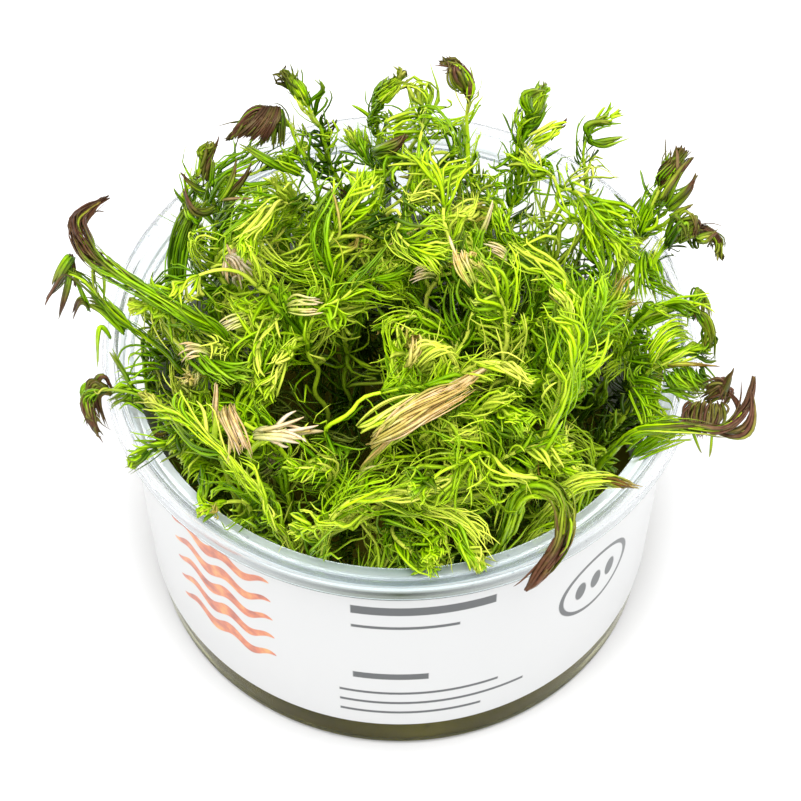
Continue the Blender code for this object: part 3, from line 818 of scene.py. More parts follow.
def grow_locks(shoot, line, look, rng):
    """Whorls of needles along a shoot, drawn together in flat pointed locks."""
    end = line["at"][-1]
    joints = whorl_places(line, look["start"])[1 :: look["every"]]
    per_whorl = look["per_whorl"]
    whorl = np.repeat(np.arange(len(joints)), per_whorl)
    count = len(whorl)
    base = joints[whorl] + rng.normal(0, 0.3, count)
    turn = np.tile(np.arange(per_whorl) * 2 * math.pi / per_whorl, len(joints))
    turn = turn + rng.uniform(0, 2 * math.pi, len(joints))[whorl] + rng.normal(0, 0.2, count)
    lock = share_locks(turn, whorl, look, rng)
    locks = lock.max() + 1
    lock_base = np.bincount(lock, base) / np.bincount(lock)
    lock_turn = np.arctan2(np.bincount(lock, np.sin(turn)), np.bincount(lock, np.cos(turn)))

    t = leaf["rings"]
    share, lock_share = base / end, lock_base / end
    length = look["length"] * (1 - 0.3 * smooth_step(share, 0.82, 1.0)) * rng.uniform(0.75, 1.25, count)
    lock_length = look["length"] * (1 - 0.3 * smooth_step(lock_share, 0.82, 1.0))
    lock_length = lock_length * rng.uniform(0.8, 1.4, locks)
    length = np.minimum(length, 0.9 * (end - base) + look["overhang"])
    lock_length = np.minimum(lock_length, 0.9 * (end - lock_base) + look["overhang"])
    limit = np.maximum(1.25 * np.interp(base, line["at"], line["width"]) + look["loose"], 2.2)
    lock_limit = 1.25 * np.interp(lock_base, line["at"], line["width"]) + look["loose"]
    lock_limit = np.maximum(lock_limit, 2.2)
    first, last = angles_for(look, share, rng, 0.5)
    lock_first, lock_last = angles_for(look, lock_share, rng, look["wild"])
    own = lay_out(line, t, base, length, first, last, turn, rng.normal(0, 0.5, count), limit)
    own = bend_away(own, t, length, rng.normal(0, 1.3, (count, 3)), rng.normal(0, 0.5, (count, 3)))
    lock_sweep = rng.normal(0, 0.6, locks)
    shared = lay_out(
        line, t, lock_base, lock_length, lock_first, lock_last, lock_turn, lock_sweep, lock_limit
    )
    lock_sway = rng.normal(0, look["sway"], (locks, 3)) - [0, 0, look["droop"]]
    lock_hook = rng.normal(0, 0.35 * look["sway"], (locks, 3))
    shared = bend_away(shared, t, lock_length, lock_sway, lock_hook)
    way = shared[:, -1] - shared[:, 0]
    way /= np.maximum(np.linalg.norm(way, axis=1), 0.01)[:, None]
    row = np.cross(way, rng.normal(0, 1, (locks, 3)))
    row /= np.linalg.norm(row, axis=1)[:, None]
    sheet = np.cross(row, way)
    row_width = smooth_step(t, 0.05, 0.5) * (1 - 0.8 * smooth_step(t, 0.55, 1.0))
    beside = row[lock] * (rank_in_lock(lock, rng) * look["width"] * 0.5)[:, None]
    apart = beside[:, None, :] * row_width[None, :, None] + rng.normal(0, 0.09, (count, 3))[:, None, :]
    cling = look["cling"] * rng.uniform(0.7, 1.0, count)
    cling = np.where(rng.uniform(0, 1, count) < look["free"], rng.uniform(0, 0.4, count), cling)
    tip_free = rng.uniform(0, 0.5, count)[:, None] * smooth_step(t, 0.7, 1.0)[None]
    drawn = (cling[:, None] * smooth_step(t, 0.0, 0.75)[None] * (1 - tip_free))[..., None]
    paths = own * (1 - drawn) + (shared[lock] + apart) * drawn

    homes = round_line(line, base, np.zeros(count), turn)
    outward = round_line(line, base, np.ones(count), turn) - homes
    flat = sheet[lock] * np.sign((sheet[lock] * outward).sum(axis=1) + 1e-6)[:, None]
    outward = outward * (1 - cling)[:, None] + flat * cling[:, None]
    paths = keep_clear(paths, homes[:, None, :])
    keep = ~in_gap(paths) | (rng.uniform(0, 1, count) < 0.1)
    keep &= rng.uniform(0, 1, count) < look["kept"]
    width = look["width"] * rng.uniform(0.5, 1.5, count)
    roll = rng.normal(0, 0.12, count)[:, None] + rng.normal(0, 0.35, count)[:, None] * t[None]
    corners = bend_pattern(leaf, paths[keep], width[keep], outward[keep], roll[keep])

    tone = look["tone"] + rng.normal(0, look["tone_spread"], locks)[lock] + rng.normal(0, 0.08, count)
    brown = smooth_step(share + rng.normal(0, 0.03, locks)[lock], look["brown_from"], 1.0)
    brown = (look["browning"] * brown)[:, None] * (0.7 + 0.3 * t[None])
    dried = (rng.uniform(0, 1, locks) < look["dead"])[lock] * rng.uniform(0.7, 1.0, count)
    brown = np.maximum(brown, dried[:, None] * smooth_step(t, 0.15, 0.75)[None])
    marks = marks_for(leaf, np.clip(tone, 0, 1)[keep], brown[keep], shade_at(paths[keep][..., 2]))
    shoot.add(leaf, corners, marks, 0)
    return int(keep.sum())


# %% Side shoots
TWIG_STEPS = 60


def twig_line(line, rng):
    """The line of a thin side shoot that leaves a stem and curves over its neighbours."""
    start = rng.uniform(0.45, 0.8) * line["at"][-1]
    place = read_line(line, "place", np.array([start]))[0]
    along = read_line(line, "along", np.array([start]))[0]
    turn = rng.uniform(0, 2 * math.pi)
    out = round_line(line, np.array([start]), np.ones(1), np.array([turn]))[0] - place
    heading = along * 0.7 + out
    heading /= np.linalg.norm(heading)
    length = rng.uniform(12.0, 22.0)
    bend = rng.normal(0, 1.1, 3) / length
    twist = rng.normal(0, 1.2, 3) / length
    points = [place]
    for step in range(TWIG_STEPS):
        bending = bend + twist * math.sin(2 * math.pi * step / TWIG_STEPS)
        heading = heading + bending * 2.0 * length / TWIG_STEPS
        heading /= np.linalg.norm(heading)
        points.append(points[-1] + heading * length / TWIG_STEPS)
    points = np.array(points)
    points[:, 2] = np.maximum(points[:, 2], 20.0)
    points = keep_clear(points, np.broadcast_to(place, points.shape))
    if in_gap(points[None])[0]:
        return None
    return line_through(points, np.full(len(points), 2.4), LINE_STEPS)


# %% [markdown]
# ## Growing a wet tail
# Where a shoot was lifted out of the wet, all its leaves lie along it and it becomes a tail of
# parallel strands, dark green that turns purple brown, with a sharp point. The dead ones have the
# same form, but flat and pale. Long strands that start all along the line and lie close round it
# give both, and a few strays break the outline.

# %% Tails of strands
def grow_tail(shoot, line, look, rng):
    """Long strands that lie along a shoot and cling to it."""
    count = look["strands"]
    end = line["at"][-1]
    t = strand["rings"]
    base = look["start"] + (end * 0.93 - look["start"]) * rng.uniform(0, 1, count) ** look["crowd"]
    length = np.minimum(look["length"] * rng.uniform(0.5, 1.2, count), end - base + look["overhang"])
    length = np.maximum(length, 3.5)
    distance = base[:, None] + length[:, None] * t[None]
    body = np.interp(distance, line["at"], line["width"]) * look["swell"]
    fan = 1 + look["fan"] * smooth_step(distance / end, 0.8, 1.1)
    layer = np.sqrt(rng.uniform(0.05, 1.0, count))[:, None]
    rise = smooth_step(t, 0.0, 0.35)[None]
    settle = 1 - 0.45 * smooth_step(t, 0.7, 1.0)[None]
    reach = 0.3 + body * layer * rise * settle * fan
    turn = rng.uniform(0, 2 * math.pi, count)
    twist = look["twist"] + rng.normal(0, 0.25, count)
    wave = 0.14 * np.sin(t[None] * rng.uniform(3, 7, count)[:, None] + turn[:, None])
    paths = round_line(line, distance, reach, turn[:, None] + twist[:, None] * t[None] + wave)
    stray = (rng.uniform(0, 1, count) < look["stray"])[:, None]
    sway = np.clip(rng.normal(0, 1.2, (count, 3)), -1.8, 1.8) * stray
    paths = bend_away(paths, t, np.minimum(length, 10.0), sway - [0, 0, 0.5] * stray, 0.4 * sway)
    homes = read_line(line, "place", np.minimum(base, end))
    outward = round_line(line, base, np.ones(count), turn)
    outward = outward - round_line(line, base, np.zeros(count), turn)
    paths = keep_clear(paths, homes[:, None, :])
    width = look["width"] * rng.uniform(0.6, 1.3, count)
    roll = rng.normal(0, 0.35, count)[:, None] + rng.normal(0, 0.4, count)[:, None] * t[None]
    corners = bend_pattern(strand, paths, width, outward, roll)
    tone = np.clip(look["tone"] + rng.normal(0, look["tone_spread"], count), 0, 1)
    where = np.clip(distance / end, 0, 1) + rng.normal(0, look["patchy"], count)[:, None]
    brown = look["browning"] * smooth_step(where, look["brown_from"], look["brown_full"])
    marks = marks_for(strand, tone, np.clip(brown, 0, 1), shade_at(paths[..., 2]))
    shoot.add(strand, corners, marks, 0)
    return count


# %% [markdown]
# ## Materials
# The marks that were put on every corner drive the colours: how far along the leaf it is, the
# leaf's own tone, how brown it has gone and how deep in the tuft it lies, where it gets painted
# shade. More painted shade darkens each leaf's edges and base, so that its rib reads as a painted
# highlight. On top of that, fine noise gives the cells and veins, and the wet gloss comes from a
# low roughness with a thin coat.

# %% Node helpers
def add_node(tree, kind, **values):
    """A new shader node, with its inputs set or linked by name and its settings set."""
    made = tree.nodes.new(kind)
    for key, value in values.items():
        name = key.replace("_", " ")
        if name in made.inputs:
            if isinstance(value, bpy.types.NodeSocket):
                tree.links.new(value, made.inputs[name])
            else:
                made.inputs[name].default_value = value
        else:
            setattr(made, key, value)
    return made


def maths(tree, operation, *values):
    """One Math node over numbers or sockets."""
    made = tree.nodes.new("ShaderNodeMath")
    made.operation = operation
    for socket, value in zip(made.inputs, values):
        if isinstance(value, bpy.types.NodeSocket):
            tree.links.new(value, socket)
        else:
            socket.default_value = value
    return made.outputs[0]


def blend(tree, share, first, second, mode="MIX"):
    """Mix two colours, each a socket or a plain (r, g, b)."""
    made = tree.nodes.new("ShaderNodeMix")
    made.data_type = "RGBA"
    made.blend_type = mode
    sockets = [made.inputs[0], made.inputs[6], made.inputs[7]]
    for socket, value in zip(sockets, (share, first, second)):
        if isinstance(value, bpy.types.NodeSocket):
            tree.links.new(value, socket)
        elif isinstance(value, tuple):
            socket.default_value = (*value, 1.0)
        else:
            socket.default_value = value
    return made.outputs[2]


def ramp(tree, value, *stops):
    """A colour ramp through (position, (r, g, b)) stops."""
    made = tree.nodes.new("ShaderNodeValToRGB")
    tree.links.new(value, made.inputs[0])
    bar = made.color_ramp.elements
    while len(bar) < len(stops):
        bar.new(0.5)
    for element, (position, colour) in zip(bar, stops):
        element.position = position
        element.color = (*colour, 1.0)
    return made.outputs[0]


def object_noise(tree, scale, detail=2.0, stretch=(1.0, 1.0, 1.0)):
    """Noise on object coordinates, with a scale per metre."""
    place = tree.nodes.new("ShaderNodeTexCoord").outputs["Object"]
    mapping = add_node(tree, "ShaderNodeMapping", Vector=place, Scale=stretch)
    noise = add_node(tree, "ShaderNodeTexNoise", Vector=mapping.outputs[0], Scale=scale, Detail=detail)
    return noise.outputs[0]


# %% Leaf finishes
# Painted shade on each leaf's edges and base, so that its rib stands out as a painted highlight.
EDGE_SHADE, BASE_SHADE = (0.66, 0.74, 0.52), (0.68, 0.74, 0.58)
LIME = (0.62, 0.93, 0.006)
YELLOW_LIME = (0.92, 0.97, 0.13)
GRASS = (0.27, 0.555, 0.002)
DEEP_GREEN = (0.038, 0.115, 0.001)
PURPLE_BROWN = (0.13, 0.05, 0.03)
TAN = (0.84, 0.53, 0.18)
PALE_PINK = (0.95, 0.72, 0.52)
STRAW = (0.80, 0.66, 0.24)
WHITE = (1.0, 1.0, 1.0)
WET_BROWNS = [
    (0.0, (0.06, 0.018, 0.004)),
    (0.3, (0.16, 0.06, 0.012)),
    (0.6, (0.40, 0.24, 0.06)),
    (1.0, STRAW),
]
PURPLES = [(0.0, (0.03, 0.012, 0.012)), (0.5, PURPLE_BROWN), (1.0, (0.30, 0.15, 0.12))]
DRY_TONES = [(0.0, (0.30, 0.16, 0.05)), (0.45, TAN), (0.8, PALE_PINK), (1.0, (0.97, 0.91, 0.80))]
STEM_TONES = [(0.0, (0.22, 0.10, 0.03)), (0.6, (0.5, 0.33, 0.08)), (1.0, STRAW)]


def leaf_finish(name, brown_colours, roughness, coat):
    """Living or dead leaf, coloured by the marks on its corners."""
    material = plain_material(name, (*LIME, 1.0), roughness)
    tree = material.node_tree
    shader = tree.nodes["Principled BSDF"]
    marks = add_node(tree, "ShaderNodeAttribute", attribute_name="leaf_marks")
    parts = add_node(tree, "ShaderNodeSeparateColor", Color=marks.outputs["Color"])
    along, tone, browning = parts.outputs[0], parts.outputs[1], parts.outputs[2]
    shaded = marks.outputs["Alpha"]
    grain = object_noise(tree, 900.0, 3.0)
    patch = object_noise(tree, 160.0, 2.0)
    patchiness = maths(tree, "MULTIPLY", maths(tree, "SUBTRACT", patch, 0.5), 0.5)
    mixed = maths(tree, "ADD", tone, patchiness)
    green = ramp(tree, mixed, (0.0, DEEP_GREEN), (0.3, GRASS), (0.62, LIME), (1.0, YELLOW_LIME))
    near_tip = maths(tree, "MULTIPLY", maths(tree, "POWER", along, 4.0), 0.35)
    paler = blend(tree, near_tip, green, YELLOW_LIME)
    brown_grain = maths(tree, "MULTIPLY", grain, 0.5)
    brown_tone = maths(tree, "ADD", maths(tree, "MULTIPLY", tone, 0.6), brown_grain)
    coloured = blend(tree, browning, paler, ramp(tree, brown_tone, *brown_colours))
    cells = ramp(tree, grain, (0.3, (0.6, 0.6, 0.6)), (0.6, WHITE))
    veined = blend(tree, 0.35, coloured, cells, "MULTIPLY")
    ridge = add_node(tree, "ShaderNodeAttribute", attribute_name="leaf_ridge").outputs["Fac"]
    # Painted shade along the leaf edges and at the leaf base, leaving a painted highlight on the rib.
    with_painted_edge_shade = blend(tree, 1.0, veined, ramp(tree, ridge, (0.0, EDGE_SHADE), (0.4, WHITE)), "MULTIPLY")
    with_painted_base_shade = blend(tree, 1.0, with_painted_edge_shade, ramp(tree, along, (0.0, BASE_SHADE), (0.4, WHITE)), "MULTIPLY")
    # Painted shade: by the shade mark, leaves deep in the tuft are darkened towards a dark green.
    painted_deep_shade = blend(tree, 1.0, with_painted_base_shade, (0.12, 0.18, 0.13), "MULTIPLY")
    with_painted_depth_shade = blend(tree, maths(tree, "MULTIPLY", shaded, 0.9), with_painted_base_shade, painted_deep_shade)
    tree.links.new(with_painted_depth_shade, shader.inputs["Base Color"])
    shader.inputs["Coat Weight"].default_value = coat
    shader.inputs["Coat Roughness"].default_value = 0.1
    shader.inputs["Specular IOR Level"].default_value = 0.25
    shader.inputs["Specular Tint"].default_value = (0.95, 1.0, 0.25, 1.0)
    bump = add_node(tree, "ShaderNodeBump", Height=grain, Strength=0.25, Distance=0.0001)
    tree.links.new(bump.outputs[0], shader.inputs["Normal"])
    return material


living_leaf = leaf_finish("living_leaf", WET_BROWNS, 0.34, 0.16)
clinging_leaf = leaf_finish("clinging_leaf", PURPLES, 0.3, 0.16)
dead_leaf = leaf_finish("dead_leaf", DRY_TONES, 0.55, 0.1)
stem_finish = leaf_finish("soft_stem", STEM_TONES, 0.32, 0.2)
print("leaf finishes:", living_leaf.name, clinging_leaf.name, dead_leaf.name, stem_finish.name)

# %% [markdown]
# ## Every shoot's own look
# Most shoots fill the cup and share one look with small changes. The ones that stand out in the
# picture get their own: a bare lime stem, a brown wet tail, a dry pale fan.

# %% Looks
OPEN_LOOK = {
    "start": 9.0,
    "every": 1,
    "per_whorl": 9,
    "span": 3,
    "locks": 3,
    "length": 11.5,
    "overhang": 1.6,
    "kept": 1.0,
    "open": 52.0,
    "curl": -18.0,
    "wild": 0.6,
    "loose": 1.6,
    "sway": 2.0,
    "droop": 0.3,
    "cling": 0.95,
    "free": 0.34,
    "width": 0.66,
    "wander": 0.9,
    "twigs": 0,
    "tone": 0.48,
    "tone_spread": 0.27,
    "browning": 0.0,
    "brown_from": 0.9,
    "dead": 0.035,
    "stem": 0.5,
    "stem_tone": 0.8,
}
CLOSED_LOOK = {
    **OPEN_LOOK,
    "per_whorl": 8,
    "length": 8.0,
    "open": 30.0,
    "curl": 4.0,
    "wild": 0.4,
    "loose": 0.3,
    "sway": 0.9,
    "free": 0.3,
    "width": 0.56,
    "wander": 0.5,
    "tone": 0.4,
    "browning": 1.0,
    "brown_from": 0.74,
    "dead": 0.0,
    "head": 15.0,
}
TAIL_LOOK = {
    "start": 14.0,
    "strands": 190,
    "crowd": 0.6,
    "length": 14.0,
    "overhang": 2.2,
    "swell": 0.95,
    "fan": 0.0,
    "twist": 0.5,
    "stray": 0.2,
    "width": 0.5,
    "wander": 0.3,
    "patchy": 0.06,
    "twigs": 0,
    "tone": 0.4,
    "tone_spread": 0.2,
    "browning": 1.0,
    "brown_from": 0.7,
    "brown_full": 0.92,
    "stem": 0.6,
    "stem_tone": 0.55,
}
DRY_LOOK = {
    **TAIL_LOOK,
    "start": 26.0,
    "strands": 42,
    "crowd": 0.42,
    "length": 15.0,
    "swell": 0.7,
    "fan": 0.6,
    "twist": 0.2,
    "stray": 0.3,
    "width": 1.0,
    "tone": 0.6,
    "brown_from": 0.6,
    "brown_full": 0.8,
    "stem": 0.5,
    "stem_tone": 0.8,
}
HEAD_LOOK = {
    **TAIL_LOOK,
    "strands": 80,
    "crowd": 1.0,
    "length": 9.0,
    "overhang": 0.8,
    "swell": 1.0,
    "twist": 0.9,
    "stray": 0.08,
    "tone": 0.3,
    "tone_spread": 0.15,
}
WRAP_LOOK = {
    **TAIL_LOOK,
    "start": 24.0,
    "strands": 40,
    "crowd": 0.9,
    "length": 11.0,
    "swell": 0.24,
    "stray": 0.12,
    "tone": 0.74,
    "tone_spread": 0.14,
    "browning": 0.0,
}
TWIG_LOOK = {
    "start": 2.0,
    "every": 3,
    "per_whorl": 6,
    "span": 2,
    "locks": 2,
    "length": 7.0,
    "open": 45.0,
    "free": 0.4,
    "kept": 1.0,
    "stem": 0.34,
    "stem_tone": 0.95,
    "browning": 0.0,
}
KINDS = {"open": OPEN_LOOK, "closed": CLOSED_LOOK, "tail": TAIL_LOOK, "dry": DRY_LOOK}
TAILS = {"left_hook", "left_fork", "right_hook", "front_drape", "front_right_tip"}
CLOSED = {"left_clump", "back_left_hook", "back_tall", "right_clump"}
DRY = {"back_left_pink", "dry_lying", "dry_spread", "dry_upright"}
SLENDER = {"length": 7.0, "open": 40.0, "loose": 0.6, "sway": 1.2, "droop": 0.0, "stem": 0.42}
OWN_LOOKS = {
    "left_fork": {
        "brown_from": 0.84, "brown_full": 1.0, "tone": 0.24, "start": 38.0, "strands": 26,
        "swell": 0.3, "stray": 0.1, "stem": 0.3, "patchy": 0.03,
    },
    "left_pink": {"finish": dead_leaf, "tone": 0.55, "browning": 0.9, "brown_from": 0.85, "twigs": 1},
    "left_clump": {
        "head": 8.0, "head_swell": 0.6, "length": 3.5, "kept": 0.25, "tone": 0.2, "head_tone": 0.2,
        "stem_tone": 0.25, "stem": 0.36,
    },
    "back_left": {
        "finish": clinging_leaf, "browning": 0.9, "brown_from": 0.86, "tone": 0.26, "length": 5.5,
        "open": 34.0, "kept": 0.45, "stem": 0.34, "stem_tone": 0.3,
    },
    "back_left_hook": {
        "brown_from": 0.72, "head": 9.0, "head_swell": 0.5, "head_tone": 0.22, "length": 5.0,
        "kept": 0.5, "tone": 0.28, "stem": 0.36, "stem_tone": 0.4,
    },
    "back_one": {
        **SLENDER, "finish": clinging_leaf, "browning": 0.7, "brown_from": 0.86, "tone": 0.34,
        "length": 6.0, "head": 6.0, "head_swell": 0.5, "head_brown": 0.5, "head_tone": 0.4,
        "stem_tone": 0.5,
    },
    "back_two": {
        **SLENDER, "finish": clinging_leaf, "browning": 0.6, "brown_from": 0.86, "tone": 0.42,
        "length": 5.0, "head": 8.0, "head_swell": 0.6, "head_brown": 0.15, "head_tone": 0.52,
        "stem_tone": 0.6,
    },
    "back_right": {
        **SLENDER, "finish": clinging_leaf, "tone": 0.3, "stem_tone": 0.5, "head": 4.0,
        "head_swell": 0.6, "head_brown": 0.4,
    },
    "back_right_thin": {
        **SLENDER, "tone": 0.34, "stem_tone": 0.5, "per_whorl": 4, "length": 5.5, "cling": 0.3,
    },
    "back_tall": {
        "length": 6.0, "open": 30.0, "kept": 0.55, "head": 9.0, "head_swell": 0.5, "tone": 0.4,
        "stem_tone": 0.6,
    },
    "right_back": {
        "finish": clinging_leaf, "browning": 1.0, "brown_from": 0.8, "tone": 0.36, "length": 7.0,
        "kept": 0.8, "head": 7.0, "head_swell": 0.6,
    },
    "right_clump": {
        "head": 13.0, "head_crowd": 1.6, "head_swell": 0.4, "head_tone": 0.24, "length": 5.0,
        "kept": 0.4, "tone": 0.28, "stem_tone": 0.4,
    },
    "right_droop": {
        "tone": 0.26, "length": 5.0, "open": 28.0, "loose": 0.3, "kept": 0.4, "head": 7.0,
        "head_swell": 0.25, "head_brown": 0.5, "head_tone": 0.2, "stem": 0.32, "stem_tone": 0.4,
    },
    "right_brush": {"tone": 0.45, "length": 6.5, "open": 40.0},
    "front_left": {"open": 60.0, "length": 12.5, "twigs": 2},
    "front_right_tip": {
        "finish": living_leaf, "patchy": 0.01, "brown_from": 0.93, "brown_full": 1.0, "tone": 0.78,
        "tone_spread": 0.08, "swell": 0.34, "strands": 60, "width": 0.6, "stray": 0.1,
    },
    "front_drape": {
        "twist": 0.1, "stray": 0.03, "swell": 0.7, "patchy": 0.04, "brown_from": 0.72,
        "brown_full": 0.93, "tone": 0.4, "tone_spread": 0.12, "overhang": 0.6, "width": 1.0,
        "strands": 110,
    },
    "right_hook": {
        "overhang": 0.2, "stray": 0.1, "patchy": 0.03, "brown_from": 0.76, "brown_full": 0.88,
        "start": 36.0, "strands": 70, "swell": 0.32, "tone": 0.34,
    },
    "left_hook": {
        "patchy": 0.04, "brown_from": 0.78, "brown_full": 0.9, "tone": 0.22, "tone_spread": 0.1,
        "start": 40.0, "stray": 0.08, "swell": 0.85, "width": 0.52, "strands": 185,
    },
    "dry_lying": {"start": 50.0, "strands": 24, "stray": 0.1},
    "dry_spread": {"start": 60.0, "strands": 3},
    "dry_upright": {"start": 62.0, "strands": 3},
    "back_left_pink": {"start": 55.0, "strands": 12},
    "10": {"finish": dead_leaf},
    "01": {"finish": dead_leaf},
    "19": {"finish": dead_leaf, "tone": 0.42, "kept": 0.8},
    "03": {"finish": dead_leaf},
    "18": {"finish": dead_leaf},
    "26": {"length": 6.5, "twigs": 0, "kept": 0.7, "tone": 0.36},
    "28": {"twigs": 0, "tone": 0.34},
    "02": {"tone": 0.44},
    "06": {"tone": 0.44},
    "07": {"tone": 0.42},
    "11": {"tone": 0.42},
    "14": {"tone": 0.46},
    "20": {"tone": 0.4},
    "23": {"tone": 0.45},
    "centre_fountain": {"tone": 0.66, "browning": 1.0, "brown_from": 0.92, "open": 60.0},
    "lime_arch": {
        "length": 7.5, "open": 36.0, "kept": 0.55, "tone": 0.7, "stem": 0.5, "stem_tone": 0.85,
        "browning": 0.7, "brown_from": 0.88, "wrap": 60,
    },
    "yellow_whorl": {
        "finish": dead_leaf, "kept": 0.7, "tone": 0.6, "stem": 0.5, "stem_tone": 0.9,
        "browning": 0.8, "brown_from": 0.92, "wrap": 26,
    },
    "lime_bend": {"kept": 0.7, "tone": 0.52, "stem": 0.48, "stem_tone": 0.85, "wrap": 30},
    "front_lime": {"kept": 0.7, "tone": 0.7, "stem": 0.46, "stem_tone": 0.85, "wrap": 30},
}

# %% [markdown]
# ## Combed locks
# Here and there a whole lock lies combed flat, with its needles side by side like the teeth of a
# comb: dry fans, purple hooks and lime curtains. Each is given by three short cross lines, where its
# needles start, pass and end, and the needles are spread between them. Each lock is grown into
# the shoot that carries it, and starts on that shoot.
#
# A row of the table gives how many needles, their width and tone, how brown they start and end, how
# messy they lie, and then the three cross lines, each as x, y, z of one end and of the other.

# %% Comb a lock
def comb_lock(shoot, lines_across, count, width, tone, browning, mess, rng):
    """Needles side by side from a first line, over a middle one, to a last one, neat or messy."""
    t = strand["rings"]
    share = (np.arange(count) + rng.uniform(-0.35, 0.35, count)) / max(count - 1, 1)
    share = np.clip(share, 0, 1)[:, None]
    first, middle, last = [
        np.array(ends[:3]) * (1 - share) + np.array(ends[3:]) * share for ends in lines_across
    ]
    first = first + mess * rng.normal(0, 0.25, first.shape)
    middle = middle + mess * rng.normal(0, 0.3, middle.shape)
    last = last + mess * rng.normal(0, 0.45, last.shape)
    pull = 2 * middle - 0.5 * (first + last)
    reach = rng.uniform(0.8, 1.0, count)[:, None] * t[None]
    u = reach[..., None]
    paths = (1 - u) ** 2 * first[:, None] + 2 * u * (1 - u) * pull[:, None] + u**2 * last[:, None]
    ripple = mess * rng.normal(0, 0.22, (count, 3))[:, None]
    ripple = ripple * np.sin(u * rng.uniform(4, 8, count)[:, None, None])
    paths = stay_in_reach(paths + ripple)
    outward = np.broadcast_to(np.array([0.1, -0.55, 0.83]), (count, 3))
    roll = rng.normal(0, 0.35, count)[:, None] + rng.normal(0, 0.4, count)[:, None] * t[None]
    widths = width * rng.uniform(0.65, 1.25, count)
    corners = bend_pattern(strand, paths, widths, outward, roll)
    tones = np.clip(tone + rng.normal(0, 0.13, count), 0, 1)
    brown = np.clip(np.interp(reach, [0, 0.25, 0.8, 1], np.array(browning)[[0, 0, 1, 1]]), 0, 1)
    brown = np.clip(brown + rng.normal(0, 0.1, count)[:, None] * (brown > 0.02), 0, 1)
    marks = marks_for(strand, tones, brown, shade_at(paths[..., 2]))
    shoot.add(strand, corners, marks, 0)
    return count


